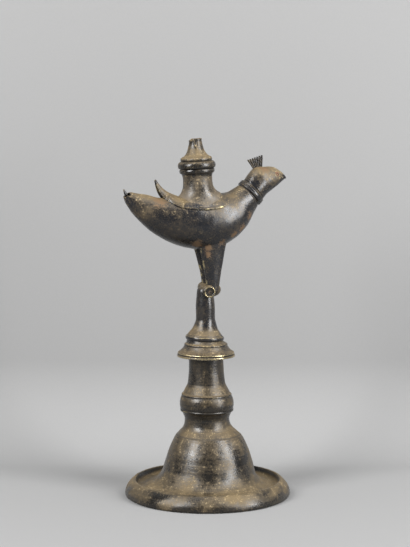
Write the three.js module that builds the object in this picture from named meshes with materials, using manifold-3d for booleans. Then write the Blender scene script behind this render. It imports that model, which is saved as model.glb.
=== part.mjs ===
// A bird-shaped oil lamp of cast brass on a turned pedestal, in millimetres, +Z up, beak towards +X.
// It is three pieces: the pedestal with its drip saucer, the hollow bird, and the filler's lid.
import * as THREE from "three";
import { mergeVertices } from "three/addons/utils/BufferGeometryUtils.js";
import Module from "manifold-3d";

const wasm = await Module();
wasm.setup();

// Clearances between the three pieces
const SOCKET_GAP = 0.35;
const REST_GAP = 0.35;
const LID_PLAY = 0.5;

// How far the hand-set work stands off its foot's axis, and leans towards the tail in degrees
const BELL_OFFSET = 1.0;
const WAIST_OFFSET = -0.45;
const OFFSET_RUN = 4;
const STEM_LEAN = 0.93;
const FILLER_LEAN = 3.5;
const CAP_RING_SLANT = 2.5;

// Drip saucer
const FOOT_RADIUS = 65.5;
const FOOT_RING_WIDTH = 4.2;
const SAUCER_HEIGHT = 12.2;
const SAUCER_DEPTH = 4.5;
const LIP_WIDTH = 1.6;
const WALL_BULGE = 6.8;
const FOOT_ROUND = 0.6;
const CASTING_WALL = 3.2;
const SOLE_DEPTH = 4.5;

// Bell, waist, bulb and stem of the pedestal
const BELL_FOOT_RADIUS = 35.5;
const BELL_FOOT_Z = 23.5;
const BELL_SWELL = 1;
const SHOULDER_RADIUS = 25.6;
const SHOULDER_Z = 48.4;
const WAIST_RADIUS = 17.7;
const WAIST_Z = 60.4;
const BULB_RADIUS = 21.1;
const BULB_LOW_Z = 67.2;
const BULB_HIGH_Z = 80.6;
const BULB_TOP_RADIUS = 19.5;
const BEAD_STEP = 0.5;
const COVE_REACH = 1.7;
const STEM_FOOT_Z = 89.5;
const STEM_FOOT_RADIUS = 14.7;
const STEM_FOOT_SWELL = 1;
const STEM_RADIUS = 13.6;
const STEM_TOP_Z = 117.6;

// Moulded cap and shank under the bird
const SOCKET_DEPTH = 7.3;
const CAP_RADIUS = 22.7;
const CAP_RIM_HEIGHT = 4.4;
const CAP_STEP_RADIUS = 16.2;
const CAP_STEP_RISE = 10.4;
const CAP_RING_RADIUS = 15.0;
const CAP_RING_RISE = 14.6;
const CAP_RING_HEIGHT = 2.6;
const CAP_RING_OFFSET = 0.9;
const CAP_LIP_STEP = 0.7;
const CAP_LIP_WIDTH = 3.1;
const FLARE_RISE = 29.0;
const SHANK_RADIUS = 7.55;
const SHANK_TAPER = 1.2;

// Knee
const KNEE_RISE = 52.7;
const KNEE_DRUM_RADIUS = 4.9;
const KNEE_DRUM_LENGTH = 20.4;
const KNEE_DRUM_DIP = 5.2;
const KNEE_CAP_LENGTH = 15;
const KNEE_CAP_HEIGHT = 11.6;
const KNEE_CAP_FORWARD = 4.0;
const KNEE_FORWARD = 1.2;
const KNEE_DRUM_BEVEL = 0.8;
const KNEE_RING_RADIUS = 4.0;
const KNEE_RING_WIRE = 0.7;
const KNEE_PIT_DEPTH = 1.0;

// Thighs
const THIGH_SPREAD = 15.2;
const THIGH_WIDTH = 7.2;
const THIGH_FORWARD = 4.6;
const THIGH_HALF_LENGTH = 10;
const THIGH_IN_BELLY = 8;
const THIGH_HEIGHT = 35;

// Bird
const BODY_RISE = 53.6;
const BIRD_LENGTH = 133.4;
const BODY_DEPTH = 43.8;
const BODY_WIDTH = 39;
const BODY_WALL = 2.4;
const COLLAR_WIDTH = 3.6;
const COLLAR_STEP = 1.2;
const CREST_HEIGHT = 9.8;
const CREST_WIDTH = 12.8;
const CREST_THICKNESS = 1.9;
const CREST_TEETH = 6;
const EYE_RADIUS = 1.25;
const EYE_FLATNESS = 0.6;
const EYE_SUNK = 0.1;
const WING_EDGE_WIRE = 0.85;
const CURL_LENGTH = 26;
const CURL_RISE = 14;
const CURL_THICKNESS = 1.7;
const CURL_PROUD = 0.5;
const WICK_MOUTH_WIDTH = 5.6;
const WICK_MOUTH_HEIGHT = 5.8;
const MOUTH_LIP_RADIUS = 1.5;
const MOUTH_LIP_POINT = 3.8;

// Filler neck and lid
const FILLER_BACK = 5.6;
const FILLER_FLARE = 6.5;
const FILLER_ROOT = 8;
const FILLER_THROAT = 12;
const FILLER_RADIUS = 11.45;
const FILLER_WALL = 2.1;
const FILLER_HEIGHT = 18.4;
const FILLER_RING_RADIUS = 13.7;
const FILLER_RING_HEIGHT = 3.7;
const LID_RADIUS = 14.8;
const LID_BEAD_HEIGHT = 5.4;
const LID_BEAD_ROUND = 1.3;
const LID_CREASE = 0.6;
const LID_UPPER_RADIUS = 12.4;
const LID_UPPER_RISE = 9.2;
const LID_FLARE_RADIUS = 9.3;
const LID_FLARE_SWELL = 1.2;
const LID_FLARE_RISE = 18.7;
const LID_STUB_RADIUS = 5.1;
const LID_STUB_TOP = 23.2;
const LID_BREAK_DROP = 7.5;
const LID_FLANGE_DEPTH = 3;
const LID_FLANGE_WALL = 1.5;
const LID_INNER_HEIGHT = 6.5;
const LID_NOTCH_WIDTH = 1.7;
const LID_NOTCH_HEIGHT = 4.6;

const ROUND_SIDES = 30;
const SMALL_SIDES = 22;
const BODY_SIDES = 22;
const FINE_SIDES = 14;
const LIP_SIDES = 8;
const BALL_SIDES = 12;
const BALL_RINGS = 8;
const EYE_SIDES = 8;
const EYE_RINGS = 6;
const WIRE_SIDES = 5;
const CURVE_STEPS = 3;
const SEARCH_STEPS = 30;

const capBase = STEM_TOP_Z + REST_GAP - SOCKET_DEPTH;
const kneeZ = capBase + KNEE_RISE;
const bodyZ = kneeZ + BODY_RISE;

const radians = THREE.MathUtils.degToRad;
const smooth = THREE.MathUtils.smoothstep;
function leanAt(z) {
  const bell = BELL_OFFSET * smooth(z, SAUCER_HEIGHT, BELL_FOOT_Z);
  const waist = (WAIST_OFFSET - BELL_OFFSET) * smooth(z, SHOULDER_Z - OFFSET_RUN, WAIST_Z);
  return bell + waist - Math.max(0, z - WAIST_Z) * Math.tan(radians(STEM_LEAN));
}
const shankX = leanAt(kneeZ);

// Closed solids from geometry, and back
function solid(geometry) {
  const bare = geometry.clone();
  bare.deleteAttribute("normal");
  bare.deleteAttribute("uv");
  const merged = mergeVertices(bare, 1e-4);
  const vertProperties = new Float32Array(merged.attributes.position.array);
  const triVerts = new Uint32Array(merged.index.array);
  return new wasm.Manifold(new wasm.Mesh({ numProp: 3, vertProperties, triVerts }));
}

function geometryOf(manifold) {
  const mesh = manifold.getMesh();
  const geometry = new THREE.BufferGeometry();
  geometry.setAttribute("position", new THREE.BufferAttribute(new Float32Array(mesh.vertProperties), 3));
  geometry.setIndex(new THREE.BufferAttribute(new Uint32Array(mesh.triVerts), 1));
  geometry.computeVertexNormals();
  return geometry;
}

// Moves each vertex of a geometry by a function of its place
function warp(geometry, move) {
  const place = geometry.attributes.position;
  const point = new THREE.Vector3();
  for (let i = 0; i < place.count; i++) {
    point.fromBufferAttribute(place, i);
    move(point);
    place.setXYZ(i, point.x, point.y, point.z);
  }
  return geometry;
}

// A turned form about +Z from a path of radius and height that starts and ends on the axis
function turned(path, sides) {
  const points = path.getPoints(CURVE_STEPS);
  return new THREE.LatheGeometry(points, sides).rotateX(Math.PI / 2);
}

// A skin through rings of equal count, closed by a fan at each end
function loft(rings) {
  const sides = rings[0].length;
  const positions = [];
  for (const ring of rings) {
    for (const point of ring) positions.push(point.x, point.y, point.z);
  }
  const middle = (ring) => ring.reduce((sum, p) => sum.add(p), new THREE.Vector3()).divideScalar(sides);
  const first = middle(rings[0]);
  const last = middle(rings[rings.length - 1]);
  const firstIndex = positions.length / 3;
  positions.push(first.x, first.y, first.z, last.x, last.y, last.z);
  const lastIndex = firstIndex + 1;
  const faces = [];
  for (let i = 0; i < sides; i++) {
    const next = (i + 1) % sides;
    for (let k = 0; k + 1 < rings.length; k++) {
      const low = k * sides;
      const high = low + sides;
      faces.push(low + i, low + next, high + next, low + i, high + next, high + i);
    }
    const end = (rings.length - 1) * sides;
    faces.push(firstIndex, next, i, lastIndex, end + i, end + next);
  }
  const geometry = new THREE.BufferGeometry();
  geometry.setAttribute("position", new THREE.Float32BufferAttribute(positions, 3));
  geometry.setIndex(faces);
  const made = solid(geometry);
  if (made.volume() > 0) return made;
  for (let i = 0; i < faces.length; i += 3) {
    [faces[i + 1], faces[i + 2]] = [faces[i + 2], faces[i + 1]];
  }
  geometry.setIndex(faces);
  return solid(geometry);
}

// An oval ring in the plane across a direction that lies in the XZ plane
function ovalRing(x, y, z, tilt, halfHeight, halfWidth, sides) {
  const ring = [];
  for (let i = 0; i < sides; i++) {
    const turn = (i / sides) * 2 * Math.PI;
    const across = halfHeight * Math.sin(turn);
    const side = halfWidth * Math.cos(turn);
    ring.push(new THREE.Vector3(x - across * Math.sin(tilt), y + side, z + across * Math.cos(tilt)));
  }
  return ring;
}

// A level oval ring, long in X
function sideways(x, y, z, halfLength, halfWidth) {
  const ring = [];
  for (let i = 0; i < FINE_SIDES; i++) {
    const turn = (i / FINE_SIDES) * 2 * Math.PI;
    ring.push(new THREE.Vector3(x + halfLength * Math.cos(turn), y + halfWidth * Math.sin(turn), z));
  }
  return ring;
}

// A round ring across any direction
function acrossRing(centre, along, radius, sides) {
  const up = new THREE.Vector3(0, 0, 1);
  const a = new THREE.Vector3().crossVectors(along, up).normalize();
  const b = new THREE.Vector3().crossVectors(a, along).normalize();
  const ring = [];
  for (let i = 0; i < sides; i++) {
    const turn = (i / sides) * 2 * Math.PI;
    const out = a.clone().multiplyScalar(Math.cos(turn)).addScaledVector(b, Math.sin(turn));
    ring.push(centre.clone().addScaledVector(out, radius));
  }
  return ring;
}

// More rings on the smooth lines through the same point of each ring
function refined(rings, times) {
  const lines = rings[0].map((_, i) => new THREE.CatmullRomCurve3(rings.map((ring) => ring[i])));
  const steps = (rings.length - 1) * times;
  const made = [];
  for (let k = 0; k <= steps; k++) made.push(lines.map((line) => line.getPoint(k / steps)));
  return made;
}

// Pedestal: saucer, bell, waist, bulb and stem, hollow below as it was cast
function pedestal() {
  const floorZ = SAUCER_HEIGHT - SAUCER_DEPTH;
  const lipRadius = FOOT_RADIUS - WALL_BULGE;
  const floorRadius = lipRadius - LIP_WIDTH - SAUCER_DEPTH / 2;
  const wall = CASTING_WALL;
  const roofZ = STEM_TOP_Z - wall;
  const soleRadius = FOOT_RADIUS - FOOT_RING_WIDTH - FOOT_ROUND;
  const outline = new THREE.Path();
  outline.moveTo(0, roofZ);
  outline.lineTo(STEM_RADIUS - wall, roofZ);
  outline.lineTo(STEM_FOOT_RADIUS - wall, STEM_FOOT_Z);
  outline.lineTo(BULB_TOP_RADIUS - wall, BULB_HIGH_Z - wall / 2);
  outline.lineTo(BULB_RADIUS - wall, BULB_LOW_Z + wall);
  outline.lineTo(WAIST_RADIUS - wall, WAIST_Z);
  outline.lineTo(SHOULDER_RADIUS - wall, SHOULDER_Z - wall);
  outline.lineTo(BELL_FOOT_RADIUS - wall, BELL_FOOT_Z);
  outline.lineTo(BELL_FOOT_RADIUS + wall, SOLE_DEPTH);
  outline.lineTo(soleRadius, SOLE_DEPTH);
  outline.lineTo(soleRadius, 0);
  outline.lineTo(FOOT_RADIUS - FOOT_ROUND, 0);
  outline.lineTo(FOOT_RADIUS, SAUCER_HEIGHT / 5);
  outline.quadraticCurveTo(FOOT_RADIUS - WALL_BULGE / 4, SAUCER_HEIGHT * 0.75, lipRadius, SAUCER_HEIGHT);
  outline.lineTo(lipRadius - LIP_WIDTH, SAUCER_HEIGHT);
  outline.lineTo(floorRadius, floorZ);
  outline.quadraticCurveTo(BELL_FOOT_RADIUS + COVE_REACH, floorZ, BELL_FOOT_RADIUS, BELL_FOOT_Z);
  const bellMiddle = (BELL_FOOT_RADIUS + SHOULDER_RADIUS) / 2 + BELL_SWELL;
  const bellHalfway = (BELL_FOOT_Z + SHOULDER_Z) / 2;
  outline.quadraticCurveTo(bellMiddle, bellHalfway, SHOULDER_RADIUS, SHOULDER_Z - BEAD_STEP);
  outline.lineTo(SHOULDER_RADIUS - BEAD_STEP, SHOULDER_Z);
  outline.quadraticCurveTo(WAIST_RADIUS, (SHOULDER_Z * 2 + WAIST_Z) / 3, WAIST_RADIUS, WAIST_Z);
  const lowBead = BULB_RADIUS - 2 * BEAD_STEP;
  outline.quadraticCurveTo(WAIST_RADIUS, (WAIST_Z + BULB_LOW_Z) / 2, lowBead, BULB_LOW_Z - BEAD_STEP);
  outline.lineTo(BULB_RADIUS - BEAD_STEP, BULB_LOW_Z + BEAD_STEP);
  const bulbMiddle = BULB_RADIUS + BEAD_STEP;
  const bulbHalfway = (BULB_LOW_Z + BULB_HIGH_Z) / 2;
  outline.quadraticCurveTo(bulbMiddle, bulbHalfway, BULB_TOP_RADIUS, BULB_HIGH_Z - 2 * BEAD_STEP);
  outline.lineTo(BULB_TOP_RADIUS - BEAD_STEP, BULB_HIGH_Z + BEAD_STEP);
  const neckMiddle = STEM_FOOT_RADIUS + STEM_FOOT_SWELL;
  outline.quadraticCurveTo(neckMiddle, (BULB_HIGH_Z + STEM_FOOT_Z) / 2, STEM_FOOT_RADIUS, STEM_FOOT_Z);
  outline.quadraticCurveTo(STEM_RADIUS, (STEM_FOOT_Z + STEM_TOP_Z) / 2, STEM_RADIUS, STEM_TOP_Z);
  outline.lineTo(0, STEM_TOP_Z);
  const geometry = turned(outline, ROUND_SIDES);
  warp(geometry, (p) => {
    p.x += leanAt(p.z);
  });
  return solid(geometry);
}

// Bird: the centre, slant, half height and half width of each station from tail to beak, as shares
// of the bird's length, the body's depth and the body's width; slants are in degrees
const STATIONS = [
  [-0.4745, 0.509, -55, 0.089, 0.105],
  [-0.443, 0.42, -43, 0.142, 0.159],
  [-0.385, 0.297, -28, 0.226, 0.241],
  [-0.309, 0.151, -15, 0.304, 0.333],
  [-0.215, 0.057, -7, 0.393, 0.42],
  [-0.112, 0.011, -1, 0.47, 0.482],
  [0, 0, 2, 0.5, 0.5],
  [0.108, 0.055, 9, 0.456, 0.474],
  [0.19, 0.185, 24, 0.364, 0.4],
  [0.238, 0.352, 39, 0.285, 0.318],
  [0.275, 0.477, 43, 0.248, 0.27],
  [0.304, 0.566, 43.5, 0.242, 0.25],
  [0.33, 0.662, 40, 0.249, 0.245],
  [0.361, 0.744, 36, 0.258, 0.232],
  [0.4085, 0.79, 34, 0.212, 0.195],
  [0.45, 0.822, 29, 0.158, 0.138],
  [0.4835, 0.813, 30, 0.083, 0.067],
  [0.5015, 0.783, 30, 0.027, 0.023],
];
const COLLAR_STATION = 10.35;
const CROWN_STATION = 13;
const RESERVOIR_FIRST = 0.6;
const RESERVOIR_LAST = 9.4;
const centreLine = new THREE.CatmullRomCurve3(
  STATIONS.map(([x, z, slant]) => new THREE.Vector3(x, z, slant)),
);
const girthLine = new THREE.CatmullRomCurve3(
  STATIONS.map(([, , , high, wide]) => new THREE.Vector3(high, wide, 0)),
);

function stationAt(number) {
  const share = number / (STATIONS.length - 1);
  const middle = centreLine.getPoint(share);
  const girth = girthLine.getPoint(share);
  return {
    x: shankX + middle.x * BIRD_LENGTH,
    z: bodyZ + middle.y * BODY_DEPTH,
    tilt: radians(middle.z),
    halfHeight: girth.x * BODY_DEPTH,
    halfWidth: girth.y * BODY_WIDTH,
  };
}

function stationRing(number, grow, sides) {
  const s = stationAt(number);
  return ovalRing(s.x, 0, s.z, s.tilt, s.halfHeight + grow, s.halfWidth + grow, sides);
}

function skin(first, last, steps, grow, sides) {
  const rings = [];
  for (let i = 0; i <= steps; i++) {
    rings.push(stationRing(first + ((last - first) * i) / steps, grow, sides));
  }
  return loft(rings);
}

// Half width of the body's skin at a point of its side view
function flankY(x, z) {
  let low = 0;
  let high = STATIONS.length - 1;
  let s = stationAt(low);
  for (let i = 0; i < SEARCH_STEPS; i++) {
    const middle = (low + high) / 2;
    s = stationAt(middle);
    const along = (x - s.x) * Math.cos(s.tilt) + (z - s.z) * Math.sin(s.tilt);
    if (along > 0) low = middle;
    else high = middle;
  }
  const across = -(x - s.x) * Math.sin(s.tilt) + (z - s.z) * Math.cos(s.tilt);
  const share = Math.min(1, Math.abs(across / s.halfHeight));
  return s.halfWidth * Math.sqrt(1 - share * share);
}

// A place in the body's side view from shares of the bird's length and the body's depth
const bodyX = (share) => shankX + share * BIRD_LENGTH;
const bodyHeight = (share) => bodyZ + share * BODY_DEPTH;

// The wing's lower edge on the flank, from breast to tail, as shares
const WING_EDGE = [
  [0.083, 0.3],
  [0.05, 0.274],
  [-0.01, 0.25],
  [-0.07, 0.247],
  [-0.13, 0.26],
  [-0.19, 0.298],
];

// A wire along that edge, thinner at the breast end
function wingEdge(side) {
  const line = new THREE.CatmullRomCurve3(
    WING_EDGE.map(([x, z]) => {
      const px = bodyX(x);
      const pz = bodyHeight(z);
      return new THREE.Vector3(px, side * flankY(px, pz), pz);
    }),
  );
  const rings = [];
  const steps = 8;
  for (let i = 0; i <= steps; i++) {
    const radius = WING_EDGE_WIRE * (i === 0 ? 0.4 : 1);
    rings.push(acrossRing(line.getPoint(i / steps), line.getTangent(i / steps), radius, WIRE_SIDES));
  }
  return loft(rings);
}

// The joined wing tips: a leaf arched like a saddle that curls up behind the filler. Its ridge and
// its edges are in shares of the curl's length and rise, its half widths in shares of the length
const CURL_RIDGE = [
  [0.06, -0.15],
  [-0.27, 0.08],
  [-0.5, 0.28],
  [-0.68, 0.56],
  [-0.83, 0.94],
];
const CURL_EDGE = [
  [-0.19, -0.63, 0.54],
  [-0.4, -0.39, 0.27],
  [-0.63, -0.05, 0.146],
  [-0.76, 0.34, 0.092],
  [-0.85, 0.88, 0.027],
];
const curlRidge = new THREE.CatmullRomCurve3(CURL_RIDGE.map(([x, z]) => new THREE.Vector3(x, z, 0)));
const curlEdge = new THREE.CatmullRomCurve3(
  CURL_EDGE.map(([x, z, wide]) => new THREE.Vector3(x, z, wide)),
);

function curlRing(share, arcSides) {
  const rootX = bodyX(-0.14);
  const rootZ = bodyHeight(0.47);
  const ridge = curlRidge.getPoint(share);
  const edge = curlEdge.getPoint(share);
  const top = new THREE.Vector3(rootX + ridge.x * CURL_LENGTH, 0, rootZ + ridge.y * CURL_RISE);
  const low = new THREE.Vector3(rootX + edge.x * CURL_LENGTH, 0, rootZ + edge.y * CURL_RISE);
  const halfWidth = Math.max(edge.z * CURL_LENGTH, flankY(low.x, low.z) + CURL_PROUD);
  const drop = top.clone().sub(low);
  const depth = drop.length();
  const thin = Math.min(CURL_THICKNESS, depth * 0.6);
  const ring = [];
  for (let i = 0; i <= arcSides; i++) {
    const turn = Math.PI * (i / arcSides - 0.5);
    ring.push(
      low
        .clone()
        .addScaledVector(drop, Math.cos(turn))
        .add(new THREE.Vector3(0, halfWidth * Math.sin(turn), 0)),
    );
  }
  for (let i = arcSides - 1; i >= 1; i--) {
    const turn = Math.PI * (i / arcSides - 0.5);
    ring.push(
      low
        .clone()
        .addScaledVector(drop, Math.cos(turn) * (1 - thin / depth))
        .add(new THREE.Vector3(0, Math.sin(turn) * (halfWidth - Math.min(thin, halfWidth / 2)), 0)),
    );
  }
  return ring;
}

function curl() {
  const rings = [];
  const steps = 9;
  for (let i = 0; i <= steps; i++) rings.push(curlRing(i / steps, 7));
  return loft(rings);
}

// Crest: a thin fan on the crown with a toothed top edge, drawn in shares of its width and height
function crest() {
  const crown = stationAt(CROWN_STATION);
  const rootX = crown.x - crown.halfHeight * Math.sin(crown.tilt);
  const rootZ = crown.z + crown.halfHeight * Math.cos(crown.tilt);
  const fan = new THREE.Shape();
  fan.moveTo(0.55 * CREST_WIDTH, -0.4 * CREST_HEIGHT);
  fan.lineTo(0.53 * CREST_WIDTH, 0);
  const right = new THREE.Vector2(0.5 * CREST_WIDTH, CREST_HEIGHT);
  const left = new THREE.Vector2(-0.49 * CREST_WIDTH, 0.65 * CREST_HEIGHT);
  for (let tooth = 0; tooth < CREST_TEETH; tooth++) {
    const tip = right.clone().lerp(left, (tooth + 0.25) / CREST_TEETH);
    const notch = right.clone().lerp(left, (tooth + 1) / CREST_TEETH);
    fan.lineTo(tip.x, tip.y);
    if (tooth + 1 < CREST_TEETH) fan.lineTo(notch.x, notch.y - 0.08 * CREST_HEIGHT);
  }
  fan.lineTo(left.x, left.y);
  fan.lineTo(-0.09 * CREST_WIDTH, 0);
  fan.lineTo(0.05 * CREST_WIDTH, -0.4 * CREST_HEIGHT);
  const plate = new THREE.ExtrudeGeometry(fan, { depth: CREST_THICKNESS, bevelEnabled: false });
  plate.translate(0, 0, -CREST_THICKNESS / 2);
  plate.rotateX(Math.PI / 2);
  plate.translate(rootX, 0, rootZ);
  return solid(plate);
}

// Thigh: a flattened limb from inside the belly down to the knee. Its stations are the height, the
// half length, the distance out, the way forward and the width, as shares of the thigh's sizes
const THIGH_STATIONS = [
  [1, 1.1, 0.5, -0.11, 1.07],
  [0.6, 0.82, 0.4, -0.03, 0.95],
  [0.25, 0.6, 0.35, 0, 0.85],
  [0, 0.52, 0.32, 0, 0.76],
];

function thigh(side) {
  const rings = THIGH_STATIONS.map(([rise, long, out, forward, wide]) => {
    const x = shankX + THIGH_FORWARD + forward * THIGH_HALF_LENGTH;
    const y = side * out * THIGH_SPREAD;
    const z = kneeZ + rise * THIGH_HEIGHT;
    return sideways(x, y, z, long * THIGH_HALF_LENGTH, (wide * THIGH_WIDTH) / 2);
  });
  const root = rings[0].map((point) => new THREE.Vector3(point.x, point.y, point.z + THIGH_IN_BELLY));
  return loft([root, ...refined(rings, 2)]);
}

// Knee: a drum from side to side with a ringed pit in each end, and a cap that swells forward
function knee() {
  const sides = FINE_SIDES;
  const along = new THREE.Vector3(0.07, 1, Math.tan(radians(KNEE_DRUM_DIP))).normalize();
  const centre = new THREE.Vector3(shankX + KNEE_FORWARD, 0, kneeZ);
  const half = KNEE_DRUM_LENGTH / 2;
  const shapes = [
    [-half, KNEE_DRUM_RADIUS - KNEE_DRUM_BEVEL],
    [-half + KNEE_DRUM_BEVEL, KNEE_DRUM_RADIUS],
    [half - KNEE_DRUM_BEVEL, KNEE_DRUM_RADIUS],
    [half, KNEE_DRUM_RADIUS - KNEE_DRUM_BEVEL],
  ];
  let form = loft(
    shapes.map(([offset, radius]) =>
      acrossRing(centre.clone().addScaledVector(along, offset), along, radius, sides),
    ),
  );
  const swell = new THREE.SphereGeometry(1, BALL_SIDES, BALL_RINGS);
  swell.scale(KNEE_CAP_LENGTH / 2, KNEE_CAP_LENGTH / 2, KNEE_CAP_HEIGHT / 2);
  swell.translate(shankX + KNEE_FORWARD + KNEE_CAP_FORWARD, 0, kneeZ);
  form = form.add(solid(swell));
  for (const side of [-1, 1]) {
    const bottom = centre.clone().addScaledVector(along, side * (half - KNEE_PIT_DEPTH));
    const outside = centre.clone().addScaledVector(along, side * (half + 1));
    const inner = KNEE_RING_RADIUS - KNEE_RING_WIRE / 2;
    const pit = [bottom, outside].map((at) => acrossRing(at, along, inner, sides));
    form = form.subtract(loft(pit));
  }
  return form;
}

// Shank, flare and moulded cap, turned about the stem's own leaning axis
function shankAndCap() {
  const outline = new THREE.Path();
  const socketRadius = STEM_RADIUS + SOCKET_GAP;
  const base = capBase;
  const socketTop = base + SOCKET_DEPTH;
  const ringLow = base + CAP_RING_RISE - CAP_RING_HEIGHT / 2;
  const ringHigh = base + CAP_RING_RISE + CAP_RING_HEIGHT / 2;
  outline.moveTo(0, socketTop);
  outline.lineTo(socketRadius, socketTop);
  outline.lineTo(socketRadius, base);
  outline.lineTo(CAP_RADIUS, base);
  outline.lineTo(CAP_RADIUS, base + CAP_RIM_HEIGHT * 0.5);
  outline.lineTo(CAP_RADIUS - CAP_LIP_STEP, base + CAP_RIM_HEIGHT * 0.9);
  outline.lineTo(CAP_RADIUS - CAP_LIP_WIDTH, base + CAP_RIM_HEIGHT * 1.2);
  const stepFoot = base + CAP_STEP_RISE * 0.8;
  outline.quadraticCurveTo(CAP_STEP_RADIUS, base + CAP_RIM_HEIGHT * 1.5, CAP_STEP_RADIUS, stepFoot);
  outline.lineTo(CAP_STEP_RADIUS, base + CAP_STEP_RISE);
  outline.lineTo(CAP_RING_RADIUS - CAP_LIP_STEP, ringLow);
  outline.lineTo(CAP_RING_RADIUS, ringLow);
  outline.lineTo(CAP_RING_RADIUS, ringHigh);
  const flareRadius = (CAP_RING_RADIUS + SHANK_RADIUS) / 2;
  const flareTop = base + FLARE_RISE;
  const flareZ = ringHigh + (flareTop - ringHigh) / 4;
  outline.quadraticCurveTo(CAP_RING_RADIUS, (ringHigh + flareZ) / 2, flareRadius, flareZ);
  outline.quadraticCurveTo(SHANK_RADIUS, (flareZ + flareTop) / 2, SHANK_RADIUS, flareTop);
  outline.lineTo(SHANK_RADIUS, kneeZ - KNEE_CAP_HEIGHT);
  outline.lineTo(SHANK_RADIUS - SHANK_TAPER, kneeZ);
  outline.lineTo(0, kneeZ);
  const geometry = turned(outline, ROUND_SIDES);
  return solid(
    warp(geometry, (p) => {
      const inRing = smooth(p.z, base + CAP_STEP_RISE, ringLow);
      const pastRing = smooth(p.z, ringHigh, flareTop);
      const share = inRing * (1 - pastRing);
      p.z -= share * p.x * Math.tan(radians(CAP_RING_SLANT));
      p.x += leanAt(p.z) - share * CAP_RING_OFFSET;
    }),
  );
}

// The filler's own frame: on the back, leaning towards the tail
const fillerZ = bodyHeight(0.527);
function placeFiller(geometry) {
  return geometry.rotateY(-radians(FILLER_LEAN)).translate(bodyX(0) - FILLER_BACK, 0, fillerZ);
}

// Height of the body's skin over a place of its plan
function backZ(x, y) {
  let low = 0;
  let high = STATIONS.length - 1;
  let s = stationAt(low);
  for (let i = 0; i < SEARCH_STEPS; i++) {
    const middle = (low + high) / 2;
    s = stationAt(middle);
    if (s.x < x) low = middle;
    else high = middle;
  }
  const share = Math.min(1, Math.abs(y / s.halfWidth));
  return s.z + s.halfHeight * Math.sqrt(1 - share * share);
}

// The neck's foot follows the back's curve all round, and spreads out into it
function fillerNeck() {
  const ringLow = FILLER_HEIGHT - FILLER_RING_HEIGHT;
  const footHeight = FILLER_HEIGHT * 0.45;
  const outline = new THREE.Path();
  outline.moveTo(0, -FILLER_ROOT);
  outline.lineTo(FILLER_RADIUS, -FILLER_ROOT);
  outline.lineTo(FILLER_RADIUS + FILLER_FLARE, 0);
  outline.quadraticCurveTo(FILLER_RADIUS, FILLER_WALL, FILLER_RADIUS, footHeight);
  outline.lineTo(FILLER_RADIUS, ringLow - BODY_WALL);
  outline.lineTo((FILLER_RADIUS + FILLER_RING_RADIUS) / 2, ringLow);
  outline.lineTo(FILLER_RING_RADIUS, ringLow + FILLER_RING_HEIGHT / 3);
  outline.lineTo(FILLER_RING_RADIUS, FILLER_HEIGHT - FILLER_RING_HEIGHT / 3);
  outline.lineTo((FILLER_RADIUS + 2 * FILLER_RING_RADIUS) / 3, FILLER_HEIGHT);
  outline.lineTo(0, FILLER_HEIGHT);
  const neck = placeFiller(turned(outline, SMALL_SIDES));
  return solid(
    warp(neck, (p) => {
      const share = 1 - smooth(p.z, fillerZ, fillerZ + footHeight);
      const drop = backZ(p.x, p.y) - fillerZ;
      p.z += share * Math.max(drop, -FILLER_ROOT);
    }),
  );
}

function fillerBore() {
  const radius = FILLER_RADIUS - FILLER_WALL;
  const outline = new THREE.Path();
  outline.moveTo(0, -FILLER_THROAT);
  outline.lineTo(radius, -FILLER_THROAT);
  outline.lineTo(radius, FILLER_HEIGHT + FILLER_WALL);
  outline.lineTo(0, FILLER_HEIGHT + FILLER_WALL);
  return solid(placeFiller(turned(outline, SMALL_SIDES)));
}

// Wick mouth: an oval hole through the tail's end, and the bite broken out of its near side
function wickMouth() {
  const inner = stationAt(RESERVOIR_FIRST * 2);
  const end = stationAt(0);
  const high = WICK_MOUTH_HEIGHT / 2;
  const wide = WICK_MOUTH_WIDTH / 2;
  const outX = end.x - high * Math.cos(end.tilt);
  const outZ = end.z - high * Math.sin(end.tilt);
  const hole = loft([
    ovalRing(inner.x, 0, inner.z, end.tilt, high, wide, FINE_SIDES),
    ovalRing(outX, 0, outZ, end.tilt, high, wide, FINE_SIDES),
  ]);
  const bite = new THREE.SphereGeometry(wide, BALL_SIDES, BALL_RINGS);
  bite.translate(end.x, -end.halfWidth * 0.7, end.z);
  return hole.add(solid(bite));
}

// The mouth's far lip, drawn up to a point
function mouthLip() {
  const end = stationAt(0);
  const along = new THREE.Vector3(-0.45, -0.1, 0.9).normalize();
  const root = new THREE.Vector3(end.x, end.halfWidth * 0.5, end.z);
  const shapes = [
    [-MOUTH_LIP_RADIUS, 1],
    [MOUTH_LIP_RADIUS / 2, 0.85],
    [MOUTH_LIP_POINT, 0.25],
  ];
  return loft(
    shapes.map(([far, share]) => {
      const radius = share * MOUTH_LIP_RADIUS;
      return acrossRing(root.clone().addScaledVector(along, far), along, radius, LIP_SIDES);
    }),
  );
}

// Two small raised eyes
function eye(side) {
  const x = bodyX(0.434);
  const z = bodyHeight(0.831);
  const bump = new THREE.SphereGeometry(EYE_RADIUS, EYE_SIDES, EYE_RINGS);
  bump.scale(1, EYE_FLATNESS, 1);
  bump.translate(x, side * (flankY(x, z) - EYE_SUNK), z);
  return solid(bump);
}

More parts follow.
